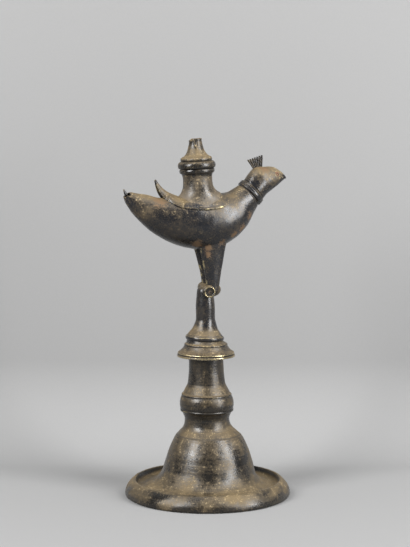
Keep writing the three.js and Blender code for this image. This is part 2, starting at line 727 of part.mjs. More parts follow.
function birdReservoir() {
  let bird = skin(0, STATIONS.length - 1, 31, 0, BODY_SIDES);
  const neckAhead = stationAt(COLLAR_STATION + 1);
  const neckBehind = stationAt(COLLAR_STATION - 1);
  const twoStations = Math.hypot(neckAhead.x - neckBehind.x, neckAhead.z - neckBehind.z);
  const collarHalf = COLLAR_WIDTH / twoStations;
  bird = bird.add(
    loft([
      stationRing(COLLAR_STATION - collarHalf, -COLLAR_STEP, BODY_SIDES),
      stationRing(COLLAR_STATION - collarHalf * 0.7, COLLAR_STEP, BODY_SIDES),
      stationRing(COLLAR_STATION + collarHalf * 0.7, COLLAR_STEP, BODY_SIDES),
      stationRing(COLLAR_STATION + collarHalf, -COLLAR_STEP, BODY_SIDES),
    ]),
  );
  bird = bird.add(curl()).add(fillerNeck()).add(crest());
  for (const side of [-1, 1]) bird = bird.add(thigh(side)).add(eye(side)).add(wingEdge(side));
  bird = bird.subtract(skin(RESERVOIR_FIRST, RESERVOIR_LAST, 9, -BODY_WALL, FINE_SIDES));
  bird = bird.subtract(fillerBore()).subtract(wickMouth()).add(mouthLip());
  return bird.add(knee()).add(shankAndCap());
}

// A rounded bead on a turned outline, fullest halfway up
function bead(outline, radius, low, high) {
  outline.lineTo(radius - LID_BEAD_ROUND, low);
  outline.quadraticCurveTo(radius + LID_BEAD_ROUND, (low + high) / 2, radius - LID_BEAD_ROUND, high);
}

// Lid: two beads and a flare up to the finial's broken stub, hollow inside, with a short flange that
// drops into the filler's bore
function fillerLid() {
  const seat = FILLER_HEIGHT + REST_GAP;
  const flange = FILLER_RADIUS - FILLER_WALL - LID_PLAY;
  const inside = flange - LID_FLANGE_WALL;
  const outline = new THREE.Path();
  outline.moveTo(0, seat + LID_INNER_HEIGHT);
  outline.quadraticCurveTo(inside, seat + LID_INNER_HEIGHT, inside, seat + LID_FLANGE_WALL);
  outline.lineTo(inside, seat - LID_FLANGE_DEPTH);
  outline.lineTo(flange, seat - LID_FLANGE_DEPTH);
  outline.lineTo(flange, seat);
  const beadTop = seat + LID_BEAD_HEIGHT;
  const upperTop = seat + LID_UPPER_RISE;
  const flareTop = seat + LID_FLARE_RISE;
  bead(outline, LID_RADIUS, seat, beadTop);
  bead(outline, LID_UPPER_RADIUS, beadTop + LID_CREASE, upperTop);
  outline.lineTo(LID_FLARE_RADIUS, upperTop + LID_CREASE);
  const flareMiddle = LID_STUB_RADIUS + LID_FLARE_SWELL;
  outline.quadraticCurveTo(flareMiddle, (2 * upperTop + flareTop) / 3, LID_STUB_RADIUS, flareTop);
  outline.lineTo(LID_STUB_RADIUS, seat + LID_STUB_TOP);
  outline.lineTo(0, seat + LID_STUB_TOP);
  const lid = solid(placeFiller(turned(outline, SMALL_SIDES)));
  const stubTop = seat + LID_STUB_TOP;
  const chip = new THREE.BoxGeometry(3 * LID_STUB_RADIUS, 3 * LID_STUB_RADIUS, LID_BREAK_DROP);
  chip.translate(0, 0, LID_BREAK_DROP / 2);
  chip.rotateY(-Math.atan(LID_BREAK_DROP / LID_STUB_RADIUS));
  chip.translate(-LID_STUB_RADIUS * 0.4, 0, stubTop);
  const notch = new THREE.BoxGeometry(LID_NOTCH_WIDTH, LID_STUB_RADIUS, LID_NOTCH_HEIGHT);
  notch.translate(-LID_STUB_RADIUS * 0.25, -LID_STUB_RADIUS, stubTop - LID_NOTCH_HEIGHT);
  return lid.subtract(solid(placeFiller(chip))).subtract(solid(placeFiller(notch)));
}

function piece(name, manifold, color, roughness) {
  const material = new THREE.MeshStandardMaterial({ color, roughness, metalness: 0.6 });
  const mesh = new THREE.Mesh(geometryOf(manifold), material);
  mesh.name = name;
  return mesh;
}

const lamp = new THREE.Group();
lamp.add(piece("pedestal", pedestal(), 0x453c31, 0.5));
lamp.add(piece("bird_reservoir", birdReservoir(), 0x3b342c, 0.45));
lamp.add(piece("filler_lid", fillerLid(), 0x4a4133, 0.5));

// The origin is on the ground under the middle of the whole lamp, beak to tail
const reach = new THREE.Box3().setFromObject(lamp);
lamp.position.x = -(reach.min.x + reach.max.x) / 2;

export default lamp;
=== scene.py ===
import math

import bmesh
import bpy
from mathutils import Matrix, Vector, noise


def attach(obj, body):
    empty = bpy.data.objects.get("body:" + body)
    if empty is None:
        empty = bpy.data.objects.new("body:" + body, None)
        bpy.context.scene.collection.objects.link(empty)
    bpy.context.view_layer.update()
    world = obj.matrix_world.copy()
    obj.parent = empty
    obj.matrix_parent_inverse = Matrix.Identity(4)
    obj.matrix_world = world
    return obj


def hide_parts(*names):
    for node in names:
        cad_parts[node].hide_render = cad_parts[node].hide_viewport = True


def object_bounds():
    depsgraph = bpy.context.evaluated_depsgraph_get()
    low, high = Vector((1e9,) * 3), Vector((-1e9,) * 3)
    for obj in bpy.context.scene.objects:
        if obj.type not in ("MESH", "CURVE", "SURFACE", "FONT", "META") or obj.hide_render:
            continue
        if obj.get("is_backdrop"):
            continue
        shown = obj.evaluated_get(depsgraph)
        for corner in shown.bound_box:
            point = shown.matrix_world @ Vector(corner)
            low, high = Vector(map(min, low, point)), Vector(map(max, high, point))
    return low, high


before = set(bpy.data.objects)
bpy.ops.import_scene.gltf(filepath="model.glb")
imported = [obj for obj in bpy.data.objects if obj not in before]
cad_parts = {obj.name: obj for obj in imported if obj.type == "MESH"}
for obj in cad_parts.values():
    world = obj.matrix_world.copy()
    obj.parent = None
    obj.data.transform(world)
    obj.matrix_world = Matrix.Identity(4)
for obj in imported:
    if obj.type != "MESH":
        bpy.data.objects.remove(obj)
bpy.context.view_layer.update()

# Pedestal: one hollow casting of brass, turned on a lathe and then left to darken. It carries a drip
# saucer, a bell, a waist, a bulb and a neck, and its neck leans a little towards the bird's tail.
# All sizes are in millimetres, and a row that ends in CORNER is a sharp edge of the turned line.
MM = 0.001
SIDES = 128
AXIS_X = 1.61
BELL_OFFSET = 1.0
WAIST_OFFSET = -0.45
STEM_LEAN = math.radians(0.93)
SAUCER_TOP_Z = 12.2
BELL_FOOT_Z = 23.5
BELL_SHOULDER_Z = 44.4
SHOULDER_LINE_Z = 48.1
WAIST_Z = 60.4
LOW_RIDGE_Z = 68.0
LOW_RIDGE_RADIUS = 21.0
BULB_Z = 74
HIGH_RIDGE_Z = 79.95
HIGH_RIDGE_RADIUS = 19.8
STEM_FOOT_Z = 84
LIP_RADIUS = 57.2
DISH_EDGE_RADIUS = 56.4
CREASE_ANGLE = math.radians(40)
CORNER = True

UNDERSIDE = [
    (0, 114.4),
    (10.4, 114.4, CORNER),
    (11.5, 89.5),
    (16.3, 79.0),
    (17.9, 70.4),
    (14.5, 60.4),
    (22.4, 45.2),
    (32.3, 23.5),
    (34.5, 12.0),
    (38.7, 4.5, CORNER),
    (59.7, 4.5, CORNER),
    (59.7, 0, CORNER),
]
SAUCER = [
    (64.9, 0, CORNER),
    (65.4, 0.7),
    (65.5, 2.2),
    (65.0, 4.8),
    (63.6, 7.4),
    (61.6, 9.8),
    (59.9, 11.4),
    (58.9, 12.0),
    (58.3, 12.2, CORNER),
    (57.3, 12.0, CORNER),
    (56.7, 10.9),
    (56.0, 9.2),
    (55.0, 8.1),
    (53.0, 7.7),
    (49.0, 8.3),
    (44.9, 9.7),
    (41.4, 12.0),
    (38.4, 15.8),
    (36.6, 19.6),
]
BELL = [
    (35.5, 23.5),
    (34.5, 27.0),
    (33.4, 30.6),
    (32.3, 34.4),
    (30.9, 38.0),
    (29.2, 41.8),
    (27.4, 45.2),
    (25.9, 47.5),
    (25.3, 48.0, CORNER),
    (25.0, 48.3, CORNER),
    (22.6, 50.8),
    (20.2, 53.2),
    (18.5, 56.2),
    (17.7, 60.0),
    (17.9, 62.2),
    (18.7, 64.2),
    (19.4, 65.8),
]
BULB = [
    (20.0, 66.6),
    (20.9, 67.2),
    (21.1, 67.9),
    (20.9, 68.5),
    (20.6, 68.8, CORNER),
    (21.0, 69.6),
    (21.3, 72.4),
    (21.0, 76.0),
    (20.2, 78.4),
    (19.6, 79.4),
    (19.9, 79.9),
    (19.7, 80.6),
    (19.1, 81.1),
    (18.7, 81.4, CORNER),
    (17.8, 83.2),
    (16.4, 85.8),
    (15.2, 88.2),
]
STEM = [
    (14.8, 90.0),
    (14.3, 94.0),
    (13.8, 100.0),
    (13.6, 106.0),
    (13.6, 117.2),
    (13.2, 117.6),
    (0, 117.6),
]


def smooth_share(value, low, high):
    """0 below low, 1 above high, smooth between."""
    share = min(1.0, max(0.0, (value - low) / (high - low)))
    return share * share * (3 - 2 * share)


def shares(steps):
    """Even steps from 0 to 1."""
    return [i / steps for i in range(steps + 1)]


def lean_at(height):
    """Where the pedestal's middle stands at a height: its parts are not quite in line."""
    bell = BELL_OFFSET * smooth_share(height, SAUCER_TOP_Z, BELL_FOOT_Z)
    waist = (WAIST_OFFSET - BELL_OFFSET) * smooth_share(height, BELL_SHOULDER_Z, WAIST_Z)
    return AXIS_X + bell + waist - max(0.0, height - WAIST_Z) * math.tan(STEM_LEAN)


def smooth_line(rows, steps):
    """Points on a smooth line through rows of numbers; a row that ends in CORNER is a sharp corner."""
    count = len(rows)
    sharp = [row[-1] is True for row in rows]
    places = [Vector([float(n) for n in row[:2]]) for row in rows]
    line = [places[0]]
    for i in range(count - 1):
        a, b = places[i], places[i + 1]
        before = places[i - 1] if i > 0 and not sharp[i] else a
        after = places[i + 2] if i + 2 < count and not sharp[i + 1] else b
        leave = (b - before) * 0.5
        arrive = (after - a) * 0.5
        for t in shares(steps)[1:]:
            line.append(
                a * (2 * t**3 - 3 * t**2 + 1)
                + leave * (t**3 - 2 * t**2 + t)
                + b * (3 * t**2 - 2 * t**3)
                + arrive * (t**3 - t**2)
            )
    return line


def face_outwards(bm):
    """Turns the faces of a closed form outwards, whatever order they were made in."""
    bmesh.ops.recalc_face_normals(bm, faces=bm.faces)
    if bm.calc_volume(signed=True) < 0:
        bmesh.ops.reverse_faces(bm, faces=bm.faces)


def turned(line, sides=SIDES):
    """A form turned about Z from a line of radius and height, in millimetres."""
    bm = bmesh.new()
    verts = [bm.verts.new((p[0], 0, p[1])) for p in line]
    edges = [bm.edges.new(pair) for pair in zip(verts, verts[1:])]
    bmesh.ops.spin(
        bm,
        geom=verts + edges,
        cent=(0, 0, 0),
        axis=(0, 0, 1),
        angle=2 * math.pi,
        steps=sides,
        use_merge=True,
    )
    bmesh.ops.remove_doubles(bm, verts=bm.verts, dist=0.0005)
    face_outwards(bm)
    return bm


def hand_worked(bm, depth, reach):
    """Small unevenness of a hand-finished casting: depth and reach in millimetres."""
    bm.normal_update()
    moves = [
        v.normal * depth * (noise.noise(v.co / reach) + 0.4 * noise.noise(v.co / reach * 3.7))
        for v in bm.verts
    ]
    for v, move in zip(bm.verts, moves):
        v.co += move


def mark_wear(bm, marks):
    """Stores where hands rub it bright, where dust gathers, and painted shade in its grooves and creases;
    marks adds its own.
    """
    worn = bm.verts.layers.float.new("worn")
    sheltered = bm.verts.layers.float.new("sheltered")
    painted_shade_and_dark_patches = bm.verts.layers.float.new("painted_shade_and_dark_patches")
    bm.normal_update()
    bend = {}
    for v in bm.verts:
        turns = []
        for e in v.link_edges:
            step = e.other_vert(v).co - v.co
            if step.length > 1e-6:
                turns.append(step.dot(v.normal) / step.length_squared)
        bend[v] = sum(turns) / len(turns) if turns else 0
    for v in bm.verts:
        near = [bend[e.other_vert(v)] for e in v.link_edges]
        mean = (bend[v] + sum(near)) / (1 + len(near))
        rubbed, dusty, dark = marks(v.co) if marks else (0, 0, 0)
        v[worn] = max(0.5 * smooth_share(-mean, 0.2, 0.9), rubbed)
        v[sheltered] = smooth_share(mean, 0.01, 0.15) + dusty
        # painted shade: concave creases are darkened; marks add painted shade in grooves and gaps, and a
        # few dark patches of patina
        v[painted_shade_and_dark_patches] = max(smooth_share(mean, 0.12, 0.4), dark)


def finished(name, bm, material, node, marks=None):
    """Makes the piece from a mesh in millimetres, and puts it in place of the CAD node."""
    mark_wear(bm, marks)
    for face in bm.faces:
        face.smooth = True
    for edge in bm.edges:
        if edge.is_manifold and edge.calc_face_angle(0) > CREASE_ANGLE:
            edge.smooth = False
    bmesh.ops.scale(bm, vec=(MM, MM, MM), verts=bm.verts)
    mesh = bpy.data.meshes.new(name)
    bm.to_mesh(mesh)
    bm.free()
    piece = bpy.data.objects.new(name, mesh)
    bpy.context.scene.collection.objects.link(piece)
    mesh.materials.append(material)
    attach(piece, "root")
    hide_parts(node)


def bump_at(value, middle, half):
    """1 at the middle, falling to nearly 0 at twice the half width from it."""
    return math.exp(-(((value - middle) / half) ** 2))


def new_group(name, inputs, outputs):
    """An empty shader node group with named inputs (name, kind, value) and outputs (name, kind)."""
    group = bpy.data.node_groups.new(name, "ShaderNodeTree")
    for label, kind, value in inputs:
        socket = group.interface.new_socket(label, in_out="INPUT", socket_type=kind)
        socket.default_value = value
    for label, kind in outputs:
        group.interface.new_socket(label, in_out="OUTPUT", socket_type=kind)
    return group, group.nodes.new("NodeGroupInput"), group.nodes.new("NodeGroupOutput")


def math_node(tree, operation, first, second, clamp=False):
    node = tree.nodes.new("ShaderNodeMath")
    node.operation = operation
    node.use_clamp = clamp
    for socket, value in zip(node.inputs, (first, second)):
        if isinstance(value, (int, float)):
            socket.default_value = value
        else:
            tree.links.new(value, socket)
    return node.outputs[0]


def ramp_node(tree, value, low, high):
    """A node that is 0 below low, 1 above high and smooth between."""
    node = tree.nodes.new("ShaderNodeMapRange")
    node.interpolation_type = "SMOOTHSTEP"
    node.inputs["From Min"].default_value = low
    node.inputs["From Max"].default_value = high
    tree.links.new(value, node.inputs["Value"])
    return node.outputs["Result"]


def noise_node(tree, place, scale, detail, roughness, stretch=None):
    if stretch:
        mapping = tree.nodes.new("ShaderNodeMapping")
        mapping.inputs["Scale"].default_value = stretch
        tree.links.new(place, mapping.inputs["Vector"])
        place = mapping.outputs["Vector"]
    node = tree.nodes.new("ShaderNodeTexNoise")
    node.inputs["Scale"].default_value = scale
    node.inputs["Detail"].default_value = detail
    node.inputs["Roughness"].default_value = roughness
    tree.links.new(place, node.inputs["Vector"])
    return node.outputs["Fac"]


def colour_mix(tree, share, first, second):
    node = tree.nodes.new("ShaderNodeMix")
    node.data_type = "RGBA"
    tree.links.new(share, node.inputs["Factor"])
    for socket, value in ((node.inputs["A"], first), (node.inputs["B"], second)):
        if isinstance(value, tuple):
            socket.default_value = value
        else:
            tree.links.new(value, socket)
    return node.outputs["Result"]


def attribute_node(tree, name):
    node = tree.nodes.new("ShaderNodeAttribute")
    node.attribute_name = name
    return node.outputs["Fac"]


# How close the patina's clouds, mottling, grain and turning lines lie, per metre.
CLOUDS = 55
MOTTLE = 230
GRAIN = 850
TOOL_LINES = (8, 8, 1100)


def patina_group():
    """Old cast brass: dark patina, tan dust where it settles, rusty patches, rubbed yellow edges, and
    painted shade in grooves and creases.
    """
    group, given, made = new_group(
        "old_cast_brass",
        [
            ("Dark", "NodeSocketColor", (0.009, 0.0085, 0.008, 1)),
            ("Brown", "NodeSocketColor", (0.034, 0.026, 0.0165, 1)),
            ("Dust", "NodeSocketColor", (0.118, 0.082, 0.036, 1)),
            ("Pale", "NodeSocketColor", (0.33, 0.255, 0.145, 1)),
            ("Rust", "NodeSocketColor", (0.1, 0.056, 0.024, 1)),
            ("Brass", "NodeSocketColor", (0.4, 0.33, 0.19, 1)),
            ("Dust amount", "NodeSocketFloat", 0.5),
            ("Grain", "NodeSocketFloat", 1.0),
            ("Wear amount", "NodeSocketFloat", 0.6),
            ("Turning lines", "NodeSocketFloat", 0.0),
            ("Patch", "NodeSocketFloat", 0.0),
        ],
        [
            ("Colour", "NodeSocketColor"),
            ("Roughness", "NodeSocketFloat"),
            ("Metallic", "NodeSocketFloat"),
            ("Height", "NodeSocketFloat"),
        ],
    )

    def times(first, second):
        return math_node(group, "MULTIPLY", first, second)

    def plus(first, second):
        return math_node(group, "ADD", first, second)

    def less(first, second):
        return math_node(group, "SUBTRACT", first, second)

    place = group.nodes.new("ShaderNodeTexCoord").outputs["Object"]
    geometry = group.nodes.new("ShaderNodeNewGeometry")
    split = group.nodes.new("ShaderNodeSeparateXYZ")
    group.links.new(geometry.outputs["Normal"], split.inputs[0])
    upward = split.outputs["Z"]

    broad = noise_node(group, place, CLOUDS, 3, 0.5)
    middling = noise_node(group, place, MOTTLE, 5, 0.65)
    fine = noise_node(group, place, GRAIN, 4, 0.7)
    rings = noise_node(group, place, 1, 2, 0.5, TOOL_LINES)
    worn = attribute_node(group, "worn")
    sheltered = attribute_node(group, "sheltered")
    painted_shade_and_dark_patches = attribute_node(group, "painted_shade_and_dark_patches")

    turned_lines = times(less(rings, 0.5), given.outputs["Turning lines"])
    mottle = plus(times(less(middling, 0.5), 0.8), times(less(fine, 0.5), 1.3))
    mottle = plus(times(mottle, given.outputs["Grain"]), turned_lines)
    brown = ramp_node(group, plus(mottle, times(less(broad, 0.5), 0.5)), -0.2, 0.35)
    colour = colour_mix(group, brown, given.outputs["Dark"], given.outputs["Brown"])

    settled = ramp_node(group, upward, -0.1, 0.95)
    lying = plus(times(settled, 1.1), times(sheltered, 0.75))
    lying = plus(lying, times(less(broad, 0.5), 2.0))
    lying = plus(lying, times(mottle, 1.3))
    lying = plus(lying, less(given.outputs["Dust amount"], 1.0))
    dust = times(ramp_node(group, lying, -0.5, 1.15), 0.92)
    colour = colour_mix(group, dust, colour, given.outputs["Dust"])

    specks = ramp_node(group, plus(fine, times(less(middling, 0.5), 0.5)), 0.58, 0.68)
    specks = times(specks, plus(times(dust, 0.8), 0.07))
    colour = colour_mix(group, specks, colour, given.outputs["Pale"])

    rust = plus(given.outputs["Patch"], times(mottle, 1.6))
    rust = times(ramp_node(group, rust, 0.3, 0.85), ramp_node(group, given.outputs["Patch"], 0.0, 0.3))
    colour = colour_mix(group, times(rust, 0.9), colour, given.outputs["Rust"])
    # painted shade: grooves, creases and gaps between parts go towards the dark patina, as do a few dark
    # patches
    colour = colour_mix(group, times(painted_shade_and_dark_patches, 0.85), colour, given.outputs["Dark"])

    rubbed = plus(times(worn, given.outputs["Wear amount"]), times(mottle, 0.9))
    bare = times(ramp_node(group, rubbed, 0.25, 0.7), ramp_node(group, worn, 0.02, 0.3))
    colour = colour_mix(group, bare, colour, given.outputs["Brass"])

    covered = math_node(group, "MAXIMUM", dust, rust)
    rough = plus(times(covered, 0.4), 0.28)
    rough = plus(rough, times(mottle, 0.25))
    rough = plus(rough, times(less(broad, 0.5), 0.45))
    rough = math_node(group, "ADD", rough, times(specks, 0.1), clamp=True)
    metal = less(0.25, times(covered, 0.25))
    metal = math_node(group, "ADD", metal, times(bare, 0.9), clamp=True)

    height = plus(times(middling, 0.5), times(fine, 0.3))
    height = plus(height, times(turned_lines, 0.6))
    for label, value in (("Colour", colour), ("Roughness", rough), ("Metallic", metal), ("Height", height)):
        group.links.new(value, made.inputs[label])
    return group


OLD_BRASS = patina_group()


def patina(name, relief, patches=(), **amounts):
    """A material of old cast brass; patches are (x, y, z, radius) in millimetres where rust sits."""
    material = bpy.data.materials.new(name)
    material.use_nodes = True
    tree = material.node_tree
    shader = tree.nodes["Principled BSDF"]
    brass = tree.nodes.new("ShaderNodeGroup")
    brass.node_tree = OLD_BRASS
    for label, value in amounts.items():
        brass.inputs[label.replace("_", " ").capitalize()].default_value = value
    place = tree.nodes.new("ShaderNodeTexCoord").outputs["Object"]
    total = None
    for x, y, z, radius in patches:
        away = tree.nodes.new("ShaderNodeVectorMath")
        away.operation = "DISTANCE"
        tree.links.new(place, away.inputs[0])
        away.inputs[1].default_value = (x * MM, y * MM, z * MM)
        share = math_node(tree, "DIVIDE", away.outputs["Value"], radius * MM)
        near = math_node(tree, "SUBTRACT", 1.0, share, clamp=True)
        total = near if total is None else math_node(tree, "MAXIMUM", total, near)
    if total is not None:
        tree.links.new(total, brass.inputs["Patch"])
    bump = tree.nodes.new("ShaderNodeBump")
    bump.inputs["Strength"].default_value = relief
    bump.inputs["Distance"].default_value = MM
    tree.links.new(brass.outputs["Height"], bump.inputs["Height"])
    tree.links.new(bump.outputs["Normal"], shader.inputs["Normal"])
    tree.links.new(brass.outputs["Colour"], shader.inputs["Base Color"])
    tree.links.new(brass.outputs["Roughness"], shader.inputs["Roughness"])
    tree.links.new(brass.outputs["Metallic"], shader.inputs["Metallic"])
    return material


def pedestal_marks(place):
    """A worn lip, dust on the foot's wall, painted shade in the turned creases and along the dish's inner
    edge, and glints along the bulb's ridges.
    """
    out = math.hypot(place.x - lean_at(place.z), place.y)
    spots = smooth_share(noise.noise(place / 7), 0.05, 0.45)
    low = bump_at(place.z, LOW_RIDGE_Z, 0.4) * smooth_share(out, LOW_RIDGE_RADIUS - 0.4, LOW_RIDGE_RADIUS)
    high = bump_at(place.z, HIGH_RIDGE_Z, 0.3)
    high *= smooth_share(out, HIGH_RIDGE_RADIUS - 0.5, HIGH_RIDGE_RADIUS)
    lip = 0.3 * smooth_share(place.z, SAUCER_TOP_Z - 0.5, SAUCER_TOP_Z - 0.1)
    lip *= smooth_share(out, LIP_RADIUS - 0.7, LIP_RADIUS)
    rubbed = max(lip, spots * max(low, high))
    wall = smooth_share(out, LIP_RADIUS + 1.3, LIP_RADIUS + 2.8)
    wall *= 1 - smooth_share(place.z, SAUCER_TOP_Z - 1.2, SAUCER_TOP_Z)
    patchy = noise.noise(Vector((place.x, place.y, 2 * place.z)) / 13)
    dusty = wall * (0.12 + 1.1 * patchy)
    shoulder = smooth_share(place.z, SHOULDER_LINE_Z - 0.3, SHOULDER_LINE_Z + 0.4)
    dusty += 0.15 * shoulder * bump_at(place.z, SHOULDER_LINE_Z + 1.9, 3)
    dusty += 0.14 * smooth_share(place.z, BELL_FOOT_Z - 1.5, BELL_FOOT_Z + 2.5)
    dusty -= 0.04 * smooth_share(place.z, SHOULDER_LINE_Z - 3.1, SHOULDER_LINE_Z - 1.1)
    dusty += 0.25 * bump_at(place.z, STEM_FOOT_Z, 3) + (0.3 + 0.8 * patchy) * bump_at(place.z, BULB_Z, 4)
    ridges = max(bump_at(place.z, LOW_RIDGE_Z + 0.3, 1.6), bump_at(place.z, HIGH_RIDGE_Z - 0.25, 1.1))
    dusty -= 0.9 * ridges * smooth_share(out, HIGH_RIDGE_RADIUS - 1.3, HIGH_RIDGE_RADIUS - 0.3)
    # painted shade in the creases of the shoulder and the bulb's ridges, and a painted shadow along the
    # dish's inner edge under the lip
    creases = max(
        bump_at(place.z, SHOULDER_LINE_Z, 0.5),
        bump_at(place.z, LOW_RIDGE_Z + 0.9, 0.45),
        bump_at(place.z, HIGH_RIDGE_Z - 0.65, 0.4),
    )
    inner_edge = bump_at(out, DISH_EDGE_RADIUS, 0.5) * smooth_share(place.z, 9.0, 10.5)
    dark = max(0.85 * creases * smooth_share(out, 16, 18), 0.8 * inner_edge)
    return rubbed, dusty, dark


pedestal_brass = patina("pedestal_brass", relief=0.3, turning_lines=0.4, dust_amount=0.4, grain=0.65)
pedestal_line = smooth_line(UNDERSIDE + SAUCER + BELL + BULB + STEM, 4)
pedestal = turned(pedestal_line)
for v in pedestal.verts:
    v.co.x += lean_at(v.co.z)
hand_worked(pedestal, 0.14, 11)
for v in pedestal.verts:
    v.co.z = max(0.0, v.co.z)
finished("pedestal_casting", pedestal, pedestal_brass, "pedestal", pedestal_marks)

# Shank and moulded cap: part of the bird's casting. The cap sits over the pedestal's neck with two
# rounded lips at its rim, a hollowed cone, a step and a ring, and the shank rises from it.
CAP_BASE = 110.65
CAP_RADIUS = 22.7
STEP_RISE = 9.7
STEP_RADIUS = 16.8
RING_RISE = 15.9
RING_RADIUS = 14.6
RING_SLANT = math.tan(math.radians(2.5))
RING_OFFSET = 0.9
CAP_SOCKET = [
    (0, 7.3),
    (13.95, 7.3, CORNER),
    (13.95, 0, CORNER),
]
CAP = [
    (22.0, 0),
    (22.7, 0.4),
    (22.8, 1.1),
    (22.4, 1.6),
    (21.9, 1.9, CORNER),
    (22.3, 2.3),
    (22.3, 2.9),
    (21.8, 3.6),
    (20.9, 4.0, CORNER),
    (20.5, 4.3),
    (19.4, 5.2),
    (18.2, 6.6),
    (17.2, 8.2),
    (16.8, 8.8, CORNER),
    (17.1, 9.2),
    (16.9, 9.9),
    (16.2, 10.4),
    (15.2, 11.4),
    (14.3, 12.6),
    (14.0, 13.1, CORNER),
    (14.8, 13.3),
    (15.2, 14.3),
    (15.1, 15.5),
    (14.7, 16.2),
    (14.0, 16.4, CORNER),
    (13.4, 17.4),
    (12.0, 19.2),
    (10.4, 21.4),
    (9.0, 24.6),
    (8.0, 27.6),
]
SHANK = [
    (7.55, 29.5),
    (7.5, 34.0),
    (7.55, 40.0),
    (6.8, 47.0),
    (5.6, 54.0),
    (0, 54.5),
]


def cap_marks(place):
    """The two worn lips of the rim and the rubbed ring, with dust on the cone and on the flare, and painted
    shade between the lips, under the rim and under the ring.
    """
    rise = place.z - CAP_BASE
    out = math.hypot(place.x - lean_at(place.z), place.y)
    worn_spots = 0.55 + 0.45 * smooth_share(noise.noise(place / 6), -0.3, 0.3)
    lower = bump_at(rise, 0.8, 0.5) * smooth_share(out, CAP_RADIUS - 0.5, CAP_RADIUS)
    upper = bump_at(rise, 2.9, 0.45) * smooth_share(out, CAP_RADIUS - 1.1, CAP_RADIUS - 0.5)
    # painted shade in the crease between the two lips, and under the rim where it sits over the pedestal's
    # neck
    line = bump_at(rise, 1.9, 0.3) * smooth_share(out, CAP_RADIUS - 2.7, CAP_RADIUS - 1.7)
    under = (1 - smooth_share(rise, 0.0, 0.3)) * 0.8
    flare = smooth_share(rise, RING_RISE + 0.7, RING_RISE + 2.1) * (1 - smooth_share(rise, 22, 27))
    dusty = 0.1 * bump_at(rise, 6.5, 3) + 0.6 * flare
    rise += place.x * RING_SLANT
    step = 0.45 * bump_at(rise, STEP_RISE, 0.5) * smooth_share(out, STEP_RADIUS - 0.6, STEP_RADIUS)
    ring = 0.6 * bump_at(rise, RING_RISE, 0.5) * smooth_share(out, RING_RADIUS - 1, RING_RADIUS)
    # painted shade in the crease under the ring
    band = 0.75 * bump_at(rise, RING_RISE - 2.3, 0.9)
    band *= smooth_share(out, RING_RADIUS - 1, RING_RADIUS - 0.2)
    return max(lower, upper, step, ring) * worn_spots, dusty, max(line, under, band)


STEEL_GREY = (0.0085, 0.0095, 0.012, 1)
BIRD_BROWN = (0.036, 0.028, 0.0195, 1)
shank_brass = patina(
    "shank_brass",
    relief=0.22,
    dust_amount=0.3,
    grain=0.8,
    wear_amount=1.0,
    dark=STEEL_GREY,
    brown=BIRD_BROWN,
)
cap = turned([Vector((p[0], p[1] + CAP_BASE)) for p in smooth_line(CAP_SOCKET + CAP + SHANK, 4)], 96)
for v in cap.verts:
    rise = v.co.z - CAP_BASE
    share = smooth_share(rise, STEP_RISE + 0.6, STEP_RISE + 3.6) * (1 - smooth_share(rise, RING_RISE, 29))
    v.co.z -= share * v.co.x * RING_SLANT
    v.co.x += lean_at(v.co.z) - share * RING_OFFSET
hand_worked(cap, 0.14, 8)
finished("shank_and_cap", cap, shank_brass, "bird_reservoir", cap_marks)

# Knee: a drum from side to side through the joined shins, with a raised ring round a pitted disc at
# each end and a cap that swells forward. It is part of the bird's casting.
KNEE_Z = CAP_BASE + 52.7
KNEE_X = lean_at(KNEE_Z) + 1.2
KNEE_CAP = (7.5, 7.5, 5.8)
KNEE_CAP_FORWARD = 4.0
DRUM_HALF = 10.2
DRUM_TURN = 0.07
DRUM_DIP = math.tan(math.radians(5.2))
DRUM_RING = 4.0
DISC_EDGE = 3.3
DRUM_HALF_LINE = [
    (0, DRUM_HALF - 0.9),
    (2.0, DRUM_HALF - 0.8),
    (3.2, DRUM_HALF - 0.7, CORNER),
    (3.5, DRUM_HALF - 0.1),
    (4.0, DRUM_HALF + 0.15),
    (4.5, DRUM_HALF - 0.1),
    (4.75, DRUM_HALF - 0.6),
    (4.6, DRUM_HALF - 1.1),
    (4.9, DRUM_HALF - 1.8),
]
near_disc = Vector((KNEE_X, 0, KNEE_Z)) - Vector((DRUM_TURN, 1, DRUM_DIP)) * DRUM_HALF
disc_rust = [(*near_disc, 2.6)]
knee_brass = patina("knee_brass", relief=0.35, dust_amount=0.3, wear_amount=1.0, patches=disc_rust)
drum_rows = [(row[0], -row[1], *row[2:]) for row in DRUM_HALF_LINE]
drum_rows += [(4.7, -4), (4.6, 0), (4.7, 4)]
drum_rows += DRUM_HALF_LINE[::-1]
drum = turned(smooth_line(drum_rows, 4), 64)
along = Vector((DRUM_TURN, 1, DRUM_DIP)).normalized()
turn = Vector((0, 0, 1)).rotation_difference(along).to_matrix()
bmesh.ops.rotate(drum, cent=(0, 0, 0), matrix=turn, verts=drum.verts)
bmesh.ops.translate(drum, vec=(KNEE_X, 0, KNEE_Z), verts=drum.verts)
knee_cap = bmesh.ops.create_uvsphere(drum, u_segments=48, v_segments=32, radius=1)["verts"]
bmesh.ops.scale(drum, vec=KNEE_CAP, verts=knee_cap)
bmesh.ops.translate(drum, vec=(KNEE_X + KNEE_CAP_FORWARD, 0, KNEE_Z), verts=knee_cap)
hand_worked(drum, 0.12, 3)


